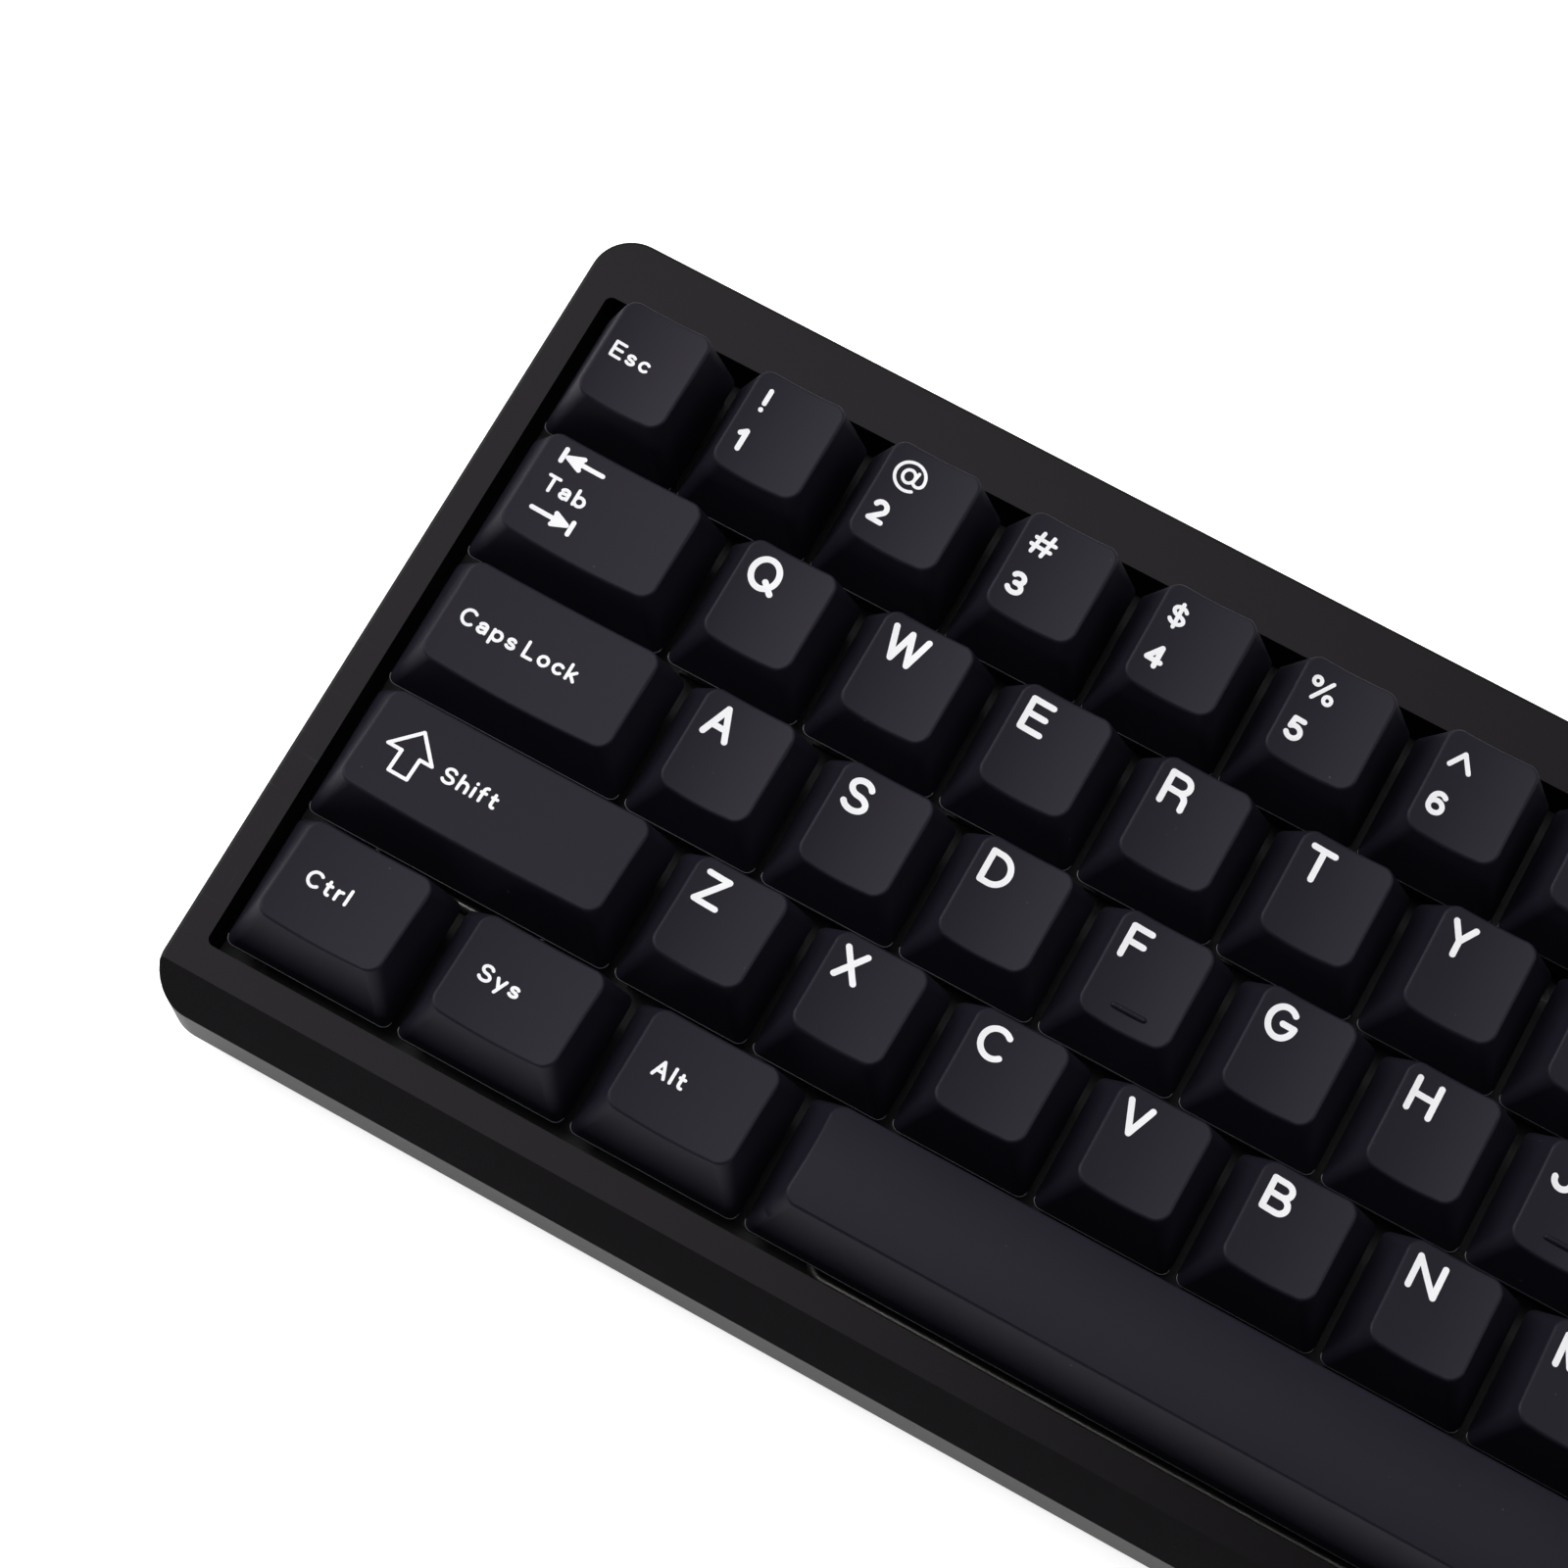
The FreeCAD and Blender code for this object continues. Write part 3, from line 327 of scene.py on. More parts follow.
@dataclass(frozen=True)
class CaseCoat(Finish):
    """Blasted and dyed aluminium: an even fine grain, faint clouds and a few light scratches."""

    grain: float = 0.13
    grain_depth: float = 0.003
    cloud: float = 26.0
    scratch: float = 1.6
    scratched: Vector = field(default_factory=lambda: DECK.matrix @ Vector((-145.6, 12.0, 1.7)))
    scratch_reach: float = 34.0
    scratch_colour: Colour = (0.06, 0.058, 0.06)
    speck: float = 1.1
    speck_colour: Colour = (0.07, 0.07, 0.07)
    specular: float = 0.10
    gloss_tint: Colour = (1.0, 0.93, 1.0)
    wall_facing: float = 0.4
    # share of painted shade mixed into the upright walls
    wall_painted_shade_share: float = 0.54

    def surface(self, shader: Shader) -> dict[str, Term]:
        """The values of the surface's sockets."""
        grain = shader.noise(self.grain, 5.0)
        cloud = shader.noise(self.cloud, 4.0)
        across = shader.noise(self.scratch, 3.0, (14.0, 0.35, 1.0)).within(0.66, 0.70)
        along = shader.noise(self.scratch, 3.0, (0.3, 16.0, 1.0)).within(0.68, 0.72)
        scratch = (across + along) * shader.near(self.scratched, self.scratch_reach)
        speck = shader.noise(self.speck, 2.0).within(0.79, 0.81)
        lighter = tuple(1.25 * part for part in self.colour)
        tint = shader.mix(cloud, self.colour, lighter)
        tint = shader.mix(scratch * 0.35, tint, self.scratch_colour)
        return {
            "Base Color": shader.mix(speck * 0.3, tint, self.speck_colour),
            "Roughness": self.roughness - 0.04 + 0.06 * cloud + 0.06 * grain,
            "Specular IOR Level": self.specular,
            "Specular Tint": self.gloss_tint,
            "Normal": shader.bump(grain, self.grain_depth),
        }

    def cover(self, shader: Shader, surface: Signal) -> Signal:
        """Paints shade on the upright walls of the skirt: mixes a dark diffuse into them, which darkens their
        reflection of the bright floor.
        """
        facing = shader.node("ShaderNodeTexCoord", output="Normal")
        upward = shader.node("ShaderNodeVectorMath", {"operation": "DOT_PRODUCT"},
                             {0: facing, 1: tuple(DECK.normal)}, "Value")
        wall = 1.0 - (upward > self.wall_facing)
        dull = shader.node("ShaderNodeBsdfDiffuse", None, {"Color": self.colour, "Roughness": 0.5})
        # painted shade: upright walls are mixed towards a dark diffuse to darken their reflection
        return shader.node("ShaderNodeMixShader", None,
                           {0: wall * self.wall_painted_shade_share, 1: surface, 2: dull})


@dataclass(frozen=True)
class PlateCoat(Finish):
    """Black coat of the switch plate, brushed from side to side."""

    def surface(self, shader: Shader) -> dict[str, Term]:
        """The values of the surface's sockets."""
        brush = shader.noise(0.4, 3.0, (60.0, 1.0, 1.0))
        lighter = tuple(1.8 * part for part in self.colour)
        return {
            "Base Color": shader.mix(brush, self.colour, lighter),
            "Metallic": 0.3,
            "Roughness": self.roughness + 0.2 * brush,
            "Normal": shader.bump(brush, 0.003),
        }


@dataclass(frozen=True)
class SolderMask(Finish):
    """The circuit board: mask over fine tracks, with dark chips and diodes standing on it."""

    board_top: float = -11.55
    chip: Colour = (0.02, 0.02, 0.021)
    track: Colour = (0.03, 0.05, 0.042)

    def surface(self, shader: Shader) -> dict[str, Term]:
        """The values of the surface's sockets."""
        level = (DECK.matrix @ Vector((0, 0, self.board_top))).dot(DECK.normal)
        on_chip = shader.height_over(DECK.normal) > level
        weave = shader.noise(0.7, 2.0)
        tracks = shader.noise(2.2, 1.0, (24.0, 1.0, 1.0)).within(0.55, 0.58)
        feeders = shader.noise(2.6, 1.0, (1.0, 24.0, 1.0)).within(0.60, 0.63)
        copper = tracks.maths("MAXIMUM", tracks, feeders)
        mask = shader.mix(copper, self.colour, self.track)
        return {
            "Base Color": shader.mix(on_chip, mask, self.chip),
            "Roughness": self.roughness + 0.25 * on_chip + 0.1 * weave,
            "Normal": shader.bump(copper * 0.6 + weave * 0.2, 0.03),
        }


@dataclass(frozen=True)
class Metal(Finish):
    """Bare or plated metal with fine drawing lines and a little tarnish."""

    lines: tuple[float, float, float] = (30.0, 1.0, 1.0)
    tarnish: float = 0.35

    def surface(self, shader: Shader) -> dict[str, Term]:
        """The values of the surface's sockets."""
        drawn = shader.noise(0.12, 3.0, self.lines)
        cloud = shader.noise(3.0, 4.0)
        dull = tuple((1 - self.tarnish) * part for part in self.colour)
        return {
            "Base Color": shader.mix(cloud, self.colour, dull),
            "Metallic": 1.0,
            "Roughness": self.roughness + 0.15 * cloud + 0.06 * drawn,
            "Normal": shader.bump(drawn, 0.002),
        }


@dataclass(frozen=True)
class Moulding(Finish):
    """Plain moulded plastic or rubber with a light texture and a mottled gloss."""

    texture: float = 0.25
    texture_depth: float = 0.004

    def surface(self, shader: Shader) -> dict[str, Term]:
        """The values of the surface's sockets."""
        grain = shader.noise(self.texture, 4.0)
        cloud = shader.noise(4.0, 3.0)
        lighter = tuple(1.4 * part for part in self.colour)
        return {
            "Base Color": shader.mix(cloud, self.colour, lighter),
            "Roughness": self.roughness + 0.1 * cloud + 0.05 * grain,
            "Normal": shader.bump(grain, self.texture_depth),
        }


@dataclass(frozen=True)
class Paper(Finish):
    """Pale seamless paper that the keyboard stands on, lit from within the sweep."""

    glow: float = 0.88

    def surface(self, shader: Shader) -> dict[str, Term]:
        """The values of the surface's sockets."""
        fibre = shader.noise(1.5, 3.0)
        shade = tuple(0.98 * part for part in self.colour)
        return {
            "Base Color": shader.mix(fibre, self.colour, shade),
            "Roughness": self.roughness + 0.05 * fibre,
            "Emission Color": self.colour,
            "Emission Strength": self.glow,
        }


# ---------------------------------------------------------------- keys
class Profile(Enum):
    """Sculpted rows: height of the top, its lean in degrees and its shift to the back."""

    NUMBER = (9.75, 2.0, 1.7)
    UPPER = (7.55, 2.5, 1.5)
    HOME = (6.55, 3.0, 1.5)
    LOWER = (7.4, 11.0, 1.6)

    @property
    def height(self) -> float:
        """How high the top's edge stands over the skirt."""
        return self.value[0]

    @property
    def lean(self) -> float:
        """The top's lean, front edge high, in radians."""
        return math.radians(self.value[1])

    @property
    def shift(self) -> float:
        """How far the top lies back from the middle of the skirt."""
        return self.value[2]


class Style(Enum):
    """How a legend is set: left edge, baseline under the top's back edge, height of a capital, stroke."""

    LETTER = (1.75, 5.88, 4.0, 0.8)
    OVER = (1.7, 5.35, 2.65, 0.62)
    UNDER = (1.7, 11.27, 2.58, 0.68)
    WORD = (2.32, 8.27, 2.0, 0.42)
    MODIFIER = (3.3, 8.02, 2.0, 0.42)
    ESCAPE = (1.55, 8.02, 1.95, 0.4)
    AFTER_ARROW = (10.85, 8.07, 2.0, 0.42)
    TAB_WORD = (2.7, 7.55, 2.0, 0.44)
    DRAWN = (0.0, 0.0, 1.0, 0.48)
    DRAWN_BOLD = (0.0, 0.0, 1.0, 0.62)


@dataclass(frozen=True)
class Legend:
    """A word, letter or sign on a keycap: the glyphs that it is set from, and how."""

    glyphs: tuple[str, ...]
    style: Style


@dataclass(frozen=True)
class KeySpot:
    """One key of the layout: its name, width in units, profile and the middle of its cell."""

    name: str
    units: float
    profile: Profile
    x: float
    y: float
    legends: tuple[Legend, ...]

    def top(self) -> tuple[float, Matrix]:
        """Where the top of the cap lies.

        Returns:
            Half the width of the top, and the matrix from mm on it to metres in the frame.
        """
        lean = Matrix.Rotation(-self.profile.lean, 4, "X")
        middle = Matrix.Translation((self.x, self.y + self.profile.shift, self.profile.height))
        return (self.units * UNIT - SKIRT_GAP - CAP_TAPER) / 2, DECK.matrix @ middle @ lean


class GlyphBook:
    """Single-stroke round letters. A stroke is a run of points and arcs, with the capitals 1 high.

    An arc is (middle x, middle y, half width, half height, first angle, last angle) in degrees.
    """

    STEM = [(0, 0), (0, 1)]
    RING = [(.31, .31, .31, .31, 0, 360)]
    ARCH = [(0, .35), (.27, .35, .27, .27, 180, 0), (.54, 0)]
    BACK = [(.4, .95, .2, .2, 90, 180), (.2, .68), (0, .66, .2, .2, 0, -90)]
    GLYPHS: dict[str, tuple[float, list]] = {
        "A": (.75, [[(0, 0), (.375, 1), (.75, 0)], [(.14, .34), (.61, .34)]]),
        "B": (.71, [STEM, [(0, 1), (.4, 1), (.4, .765, .25, .235, 90, -90), (0, .53)],
                    [(.4, .53), (.44, .265, .27, .265, 90, -90), (0, 0)]]),
        "C": (.8, [[(.45, .5, .45, .5, 48, 312)]]),
        "D": (.75, [STEM, [(0, 1), (.27, 1), (.27, .5, .48, .5, 90, -90), (0, 0)]]),
        "E": (.66, [[(.66, 1), (0, 1), (0, 0), (.66, 0)], [(0, .52), (.6, .52)]]),
        "F": (.59, [[(.59, 1), (0, 1), (0, 0)], [(0, .5), (.53, .5)]]),
        "G": (.82, [[(.42, .5, .42, .5, 48, 356)], [(.46, .47), (.84, .47)]]),
        "H": (.725, [STEM, [(.725, 0), (.725, 1)], [(0, .52), (.725, .52)]]),
        "I": (0, [STEM]),
        "J": (.55, [[(.55, 1), (.55, .27), (.275, .27, .275, .27, 0, -180)]]),
        "K": (.68, [STEM, [(.64, 1), (0, .36)], [(.22, .58), (.68, 0)]]),
        "L": (.58, [[(0, 1), (0, 0), (.58, 0)]]),
        "M": (.86, [[(0, 0), (0, 1), (.43, .1), (.86, 1), (.86, 0)]]),
        "N": (.82, [[(0, 0), (0, 1), (.82, 0), (.82, 1)]]),
        "O": (.88, [[(.44, .5, .44, .5, 0, 360)]]),
        "P": (.66, [STEM, [(0, 1), (.4, 1), (.4, .73, .27, .27, 90, -90), (0, .46)]]),
        "Q": (.86, [[(.43, .5, .43, .5, 0, 360)], [(.56, .27), (.86, -.03)]]),
        "R": (.71, [STEM, [(0, 1), (.42, 1), (.42, .74, .26, .26, 90, -90), (0, .48)],
                    [(.42, .48), (.42, .26, .27, .22, 90, 0), (.7, 0)]]),
        "S": (.7, [[(.35, .75, .31, .25, 22, 270), (.35, .25, .35, .25, 90, -158)]]),
        "T": (.7, [[(0, 1), (.7, 1)], [(.35, 1), (.35, 0)]]),
        "U": (.76, [[(0, 1), (0, .38), (.38, .38, .38, .38, 180, 360), (.76, 1)]]),
        "V": (.72, [[(0, 1), (.36, 0), (.72, 1)]]),
        "W": (1.12, [[(0, 1), (.28, 0), (.56, 1), (.84, 0), (1.12, 1)]]),
        "X": (.66, [[(0, 1), (.66, 0)], [(.66, 1), (0, 0)]]),
        "Y": (.66, [[(0, 1), (.33, .46), (.66, 1)], [(.33, .46), (.33, 0)]]),
        "Z": (.72, [[(.02, 1), (.7, 1), (0, 0), (.72, 0)]]),
        "a": (.55, [[(.27, .45, .24, .17, 165, 0), (.51, .04)],
                    [(.51, .36), (.24, .33), (.2, .165, .2, .165, 90, 270), (.3, 0), (.51, .14)]]),
        "b": (.62, [STEM, RING]),
        "c": (.54, [[(.31, .31, .31, .31, 45, 315)]]),
        "e": (.62, [[(.02, .32), (.62, .32), (.31, .31, .31, .31, 0, 312)]]),
        "f": (.36, [[(.12, 0), (.12, .8), (.32, .8, .2, .2, 180, 90)], [(0, .62), (.34, .62)]]),
        "h": (.54, [STEM, ARCH]),
        "i": (0, [[(0, 0), (0, .62)], [(0, .94), (0, .96)]]),
        "k": (.52, [STEM, [(.48, .62), (0, .2)], [(.18, .36), (.52, 0)]]),
        "l": (0, [STEM]),
        "n": (.54, [[(0, 0), (0, .62)], ARCH]),
        "o": (.62, [RING]),
        "p": (.62, [[(0, .62), (0, -.3)], RING]),
        "r": (.3, [[(0, 0), (0, .62)], [(0, .35), (.27, .35, .27, .27, 180, 85)]]),
        "s": (.5, [[(.25, .465, .22, .155, 25, 270), (.25, .155, .25, .155, 90, -155)]]),
        "t": (.38, [[(.12, .86), (.12, .16), (.28, .16, .16, .16, 180, 290)], [(0, .62), (.34, .62)]]),
        "u": (.54, [[(0, .62), (0, .27), (.27, .27, .27, .27, 180, 360)], [(.54, .62), (.54, 0)]]),
        "y": (.56, [[(0, .62), (.28, 0)], [(.56, .62), (.18, -.3)]]),
        "0": (.76, [[(.38, .5, .38, .5, 0, 360)]]),
        "1": (.28, [[(0, .78), (.26, 1), (.26, 0)]]),
        "2": (.64, [[(.31, .69, .3, .31, 160, -32), (0, 0), (.64, 0)]]),
        "3": (.68, [[(.33, .75, .28, .25, 155, -90)], [(.26, .5), (.33, .26, .34, .26, 90, -155)]]),
        "4": (.7, [[(.5, 0), (.5, 1), (0, .28), (.7, .28)]]),
        "5": (.66, [[(.58, 1), (.12, 1), (.06, .54), (.31, .32, .34, .32, 138, -152)]]),
        "6": (.68, [[(.34, .31, .34, .31, 0, 360)], [(.38, .5, .38, .5, 52, 180), (0, .31)]]),
        "7": (.62, [[(0, 1), (.62, 1), (.2, 0)]]),
        "8": (.66, [[(.33, .75, .27, .25, 0, 360)], [(.33, .25, .33, .25, 0, 360)]]),
        "9": (.68, [[(.34, .69, .34, .31, 0, 360)], [(.68, .69), (.3, .5, .38, .5, 0, -128)]]),
        "!": (.5, [[(.25, 1.08), (.25, .36)], [(.25, 0), (.25, .02)]]),
        "@": (1.5, [[(.735, .5, .735, .74, 302, -12)], [(.68, .5, .3, .34, 0, 360)],
                    [(1.05, .84), (.97, .36), (1.2, .38, .24, .2, 190, 345)]]),
        "#": (1.1, [[(.34, 1.08), (.14, 0)], [(.86, 1.08), (.66, 0)],
                    [(.08, .74), (1.06, .74)], [(0, .34), (.98, .34)]]),
        "$": (.74, [[(.37, .75, .3, .22, 22, 270), (.37, .31, .34, .22, 90, -158)], [(.37, 1.14), (.37, -.08)]]),
        "%": (1.2, [[(.2, .86, .19, .2, 0, 360)], [(1.0, .2, .19, .2, 0, 360)], [(.93, 1.06), (.27, 0)]]),
        "^": (.98, [[(0, .22), (.49, 1), (.98, .22)]]),
        "&": (.95, [[(.95, 0), (.25, .65), (.43, .8, .22, .2, 220, -40), (.14, .42),
                     (.32, .22, .3, .22, 140, 300), (.86, .5)]]),
        "*": (.7, [[(.35, 1), (.35, .32)], [(.06, .83), (.64, .49)], [(.06, .49), (.64, .83)]]),
        "(": (.3, [[(.6, .45, .6, .8, 138, 222)]]),
        ")": (.3, [[(-.4, .45, .6, .8, 42, -42)]]),
        "_": (.7, [[(0, 0), (.7, 0)]]),
        "-": (.5, [[(0, .45), (.5, .45)]]),
        "+": (.7, [[(0, .45), (.7, .45)], [(.35, .8), (.35, .1)]]),
        "=": (.7, [[(0, .62), (.7, .62)], [(0, .3), (.7, .3)]]),
        "{": (.4, [BACK, [(0, .26, .2, .2, 90, 0), (.2, .2), (.4, -.03, .2, .2, 180, 270)]]),
        "}": (.4, [[(0, .95, .2, .2, 90, 0), (.2, .68), (.4, .66, .2, .2, 180, 270)],
                   [(.4, .26, .2, .2, 90, 180), (.2, .2), (0, -.03, .2, .2, 0, -90)]]),
        "[": (.3, [[(.3, 1.1), (0, 1.1), (0, -.15), (.3, -.15)]]),
        "]": (.3, [[(0, 1.1), (.3, 1.1), (.3, -.15), (0, -.15)]]),
        "\\": (.4, [[(0, 1.05), (.4, -.1)]]),
        "|": (.3, [[(.15, 1.15), (.15, -.2)]]),
        ";": (.2, [[(.1, .6), (.1, .62)], [(.1, .06), (0, -.2)]]),
        ":": (.2, [[(.1, .7), (.1, .72)], [(.1, .1), (.1, .12)]]),
        "'": (.2, [[(.1, 1), (.1, .7)]]),
        '"': (.4, [[(.05, 1), (.05, .7)], [(.4, 1), (.4, .7)]]),
        ",": (.2, [[(.12, .06), (.02, -.2)]]),
        ".": (.2, [[(.1, 0), (.1, .02)]]),
        "<": (.6, [[(.6, .9), (0, .5), (.6, .1)]]),
        ">": (.6, [[(0, .9), (.6, .5), (0, .1)]]),
        "/": (.45, [[(0, -.05), (.45, 1.05)]]),
        "?": (.6, [[(.3, .76, .3, .26, 170, -50), (.3, .42), (.3, .32)], [(.3, 0), (.3, .02)]]),
        "shift_arrow": (0, [[(6.05, -3.65), (9.1, -7.15), (7.42, -7.15), (7.42, -10.25), (4.88, -10.25),
                             (4.88, -7.15), (3.0, -7.15), (6.05, -3.65)]]),
        "tab_arrows": (0, [[(2.78, -1.6), (2.78, -3.3)], [(3.4, -2.5), (8.3, -2.5)],
                           [(3.5, -2.45), (5.3, -1.7)], [(3.5, -2.55), (5.3, -3.3)],
                           [(3.7, -2.5), (5.15, -2.1)], [(3.7, -2.5), (5.15, -2.9)],
                           [(8.35, -9.65), (8.35, -11.35)], [(2.8, -10.4), (7.7, -10.4)],
                           [(7.6, -10.35), (5.9, -9.6)], [(7.6, -10.45), (5.9, -11.2)],
                           [(7.4, -10.4), (6.0, -10.0)], [(7.4, -10.4), (6.0, -10.8)]]),
    }
    LIGHTER = {"@": 0.68, "%": 0.8, "#": 0.85, "$": 0.85}

    def __init__(self, spacing: float = 0.84, step: float = 0.28, corner: float = 28.0) -> None:
        """Sets the book's spacing.

        Args:
            spacing: Between the strokes of neighbouring glyphs, in mm.
            step: Between the points along a stroke, in mm.
            corner: A sharper turn than this, in degrees, is a stroke's end and the next one's start.
        """
        self.spacing = spacing
        self.step = step
        self.corner = math.cos(math.radians(corner))

    def line(self, items: Iterable[Point | Arc], scale: float, left: float,
             base: float) -> list[Vector]:
        """The points along one stroke.

        Args:
            items: The stroke's points and arcs.
            scale: Height of a capital, in mm.
            left: Left edge of the glyph on the cap's top.
            base: Its baseline, upwards from the top's back edge.

        Returns:
            Points no further apart than the step, in mm.
        """
        run: list[Vector] = []
        for item in items:
            if len(item) == 2:
                run.append(Vector(item))
                continue
            x, y, wide, high, first, last = item
            size = max(wide, high) * scale
            count = max(6, math.ceil(math.radians(abs(last - first)) * size / self.step))
            for part in range(count + 1):
                angle = math.radians(first + (last - first) * part / count)
                run.append(Vector((x + wide * math.cos(angle), y + high * math.sin(angle))))
        run = [Vector((left, base)) + point * scale for point in run]
        fine = [run[0]]
        for start, end in zip(run, run[1:]):
            gap = (end - start).length
            if gap < 0.02:
                continue
            count = max(1, math.ceil(gap / self.step))
            fine += [start.lerp(end, part / count) for part in range(1, count + 1)]
        return fine

    def strokes(self, line: list[Vector]) -> list[list[Vector]]:
        """Cuts a line at its sharp corners."""
        cuts = [[line[0]]]
        for before, here, after in zip(line, line[1:], line[2:]):
            cuts[-1].append(here)
            if (here - before).normalized().dot((after - here).normalized()) < self.corner:
                cuts.append([here])
        cuts[-1].append(line[-1])
        return cuts

    def set(self, legend: Legend) -> list[tuple[list[Vector], float]]:
        """Sets a legend.

        Args:
            legend: The legend to set.

        Returns:
            Each of its strokes with the stroke's width, in mm from the back left corner of the top.
        """
        left, base, scale, weight = legend.style.value
        made = []
        for glyph in legend.glyphs:
            if glyph == " ":
                left += 0.3 * scale
                continue
            width, lines = self.GLYPHS[glyph]
            for items in lines:
                for stroke in self.strokes(self.line(items, scale, left, -base)):
                    made.append((stroke, weight * self.LIGHTER.get(glyph, 1.0)))
            left += width * scale + self.spacing
        return made


@dataclass
class Ribbon:
    """A flat round-ended stroke that follows the top of a cap, as a thin closed solid."""

    width: float
    proud: float
    sunk: float = 0.12
    cap_steps: int = 5

    def rails(self, line: list[Vector]) -> tuple[list[tuple[Vector, Vector]], bool]:
        """The left and right edges along the stroke.

        Args:
            line: The points along its middle.

        Returns:
            Pairs of edge points, and whether the stroke closes on itself.
        """
        closed = len(line) > 4 and (line[0] - line[-1]).length < 0.05
        if closed:
            line = line[:-1]
        half = self.width / 2
        pairs = []
        for place, point in enumerate(line):
            before = line[place - 1] if place or closed else point
            after = line[(place + 1) % len(line)] if place + 1 < len(line) or closed else point
            along = (after - before).normalized()
            side = Vector((-along.y, along.x)) * half
            pairs.append((point + side, point - side))
        if not closed:
            for end, inner in ((0, 1), (-1, -2)):
                outward = (line[end] - line[inner]).normalized()
                turned = [self.slice(line[end], pairs[end], outward, step)
                          for step in range(1, self.cap_steps + 1)]
                pairs = turned[::-1] + pairs if end == 0 else pairs + turned
        return pairs, closed

    def slice(self, tip: Vector, pair: tuple[Vector, Vector], outward: Vector,
              step: int) -> tuple[Vector, Vector]:
        """One slice of a round end, further out with each step."""
        angle = math.radians(84.0 * step / self.cap_steps)
        push = outward * (self.width / 2 * math.sin(angle))
        return tuple(tip + (edge - tip) * math.cos(angle) + push for edge in pair)


@dataclass
class MeshPile:
    """Points and faces that gather into one mesh."""

    points: list[Vector] = field(default_factory=list)
    faces: list[tuple[int, ...]] = field(default_factory=list)

    def tube(self, rings: list[list[Vector]], closed: bool) -> None:
        """Joins rings of points into a skin.

        Args:
            rings: Rings of equally many points, in order.
            closed: Whether the last ring joins the first; otherwise the ends are filled.
        """
        start, size = len(self.points), len(rings[0])
        for ring in rings:
            self.points.extend(ring)
        count = len(rings)
        for ring in range(count if closed else count - 1):
            here, there = start + ring * size, start + (ring + 1) % count * size
            for side in range(size):
                after = (side + 1) % size
                self.faces.append((here + side, here + after, there + after, there + side))
        if not closed:
            self.faces.append(tuple(start + side for side in reversed(range(size))))
            self.faces.append(tuple(start + (count - 1) * size + side for side in range(size)))

    def piece(self, name: str, smooth: float | None = None) -> bpy.types.Object:
        """Makes the mesh an object.

        Args:
            name: The object's name.
            smooth: Shades edges flatter than this smooth, in degrees; none for flat faces.

        Returns:
            The object, linked to the scene.
        """
        mesh = bpy.data.meshes.new(name)
        mesh.from_pydata([tuple(point) for point in self.points], [], self.faces)
        mesh.update()
        if smooth is not None:
            mesh.shade_smooth()
            mesh.set_sharp_from_angle(angle=math.radians(smooth))
        made = bpy.data.objects.new(name, mesh)
        bpy.context.scene.collection.objects.link(made)
        return made


def wire_ring(middle: Vector, out: Vector, radius: float, sides: int = 8) -> list[Vector]:
    """One ring round a wire that bends in the deck's plane.

    Args:
        middle: Middle of the wire, in mm on the deck.
        out: Away from the bend.
        radius: Half the wire's thickness.
        sides: Points in the ring.

    Returns:
        The ring's points, in metres in the frame.
    """
    ring = []
    for side in range(sides):
        around = 2 * math.pi * side / sides
        skin = out * math.cos(around) + OUTWARD * math.sin(around)
        ring.append(DECK.matrix @ (middle + skin * radius))
    return ring


def word(text: str, style: Style) -> Legend:
    """A legend set letter by letter."""
    return Legend(tuple(text), style)


def pair(over: str, under: str) -> tuple[Legend, ...]:
    """The two signs of a number or mark key."""
    return word(over, Style.OVER), word(under, Style.UNDER)


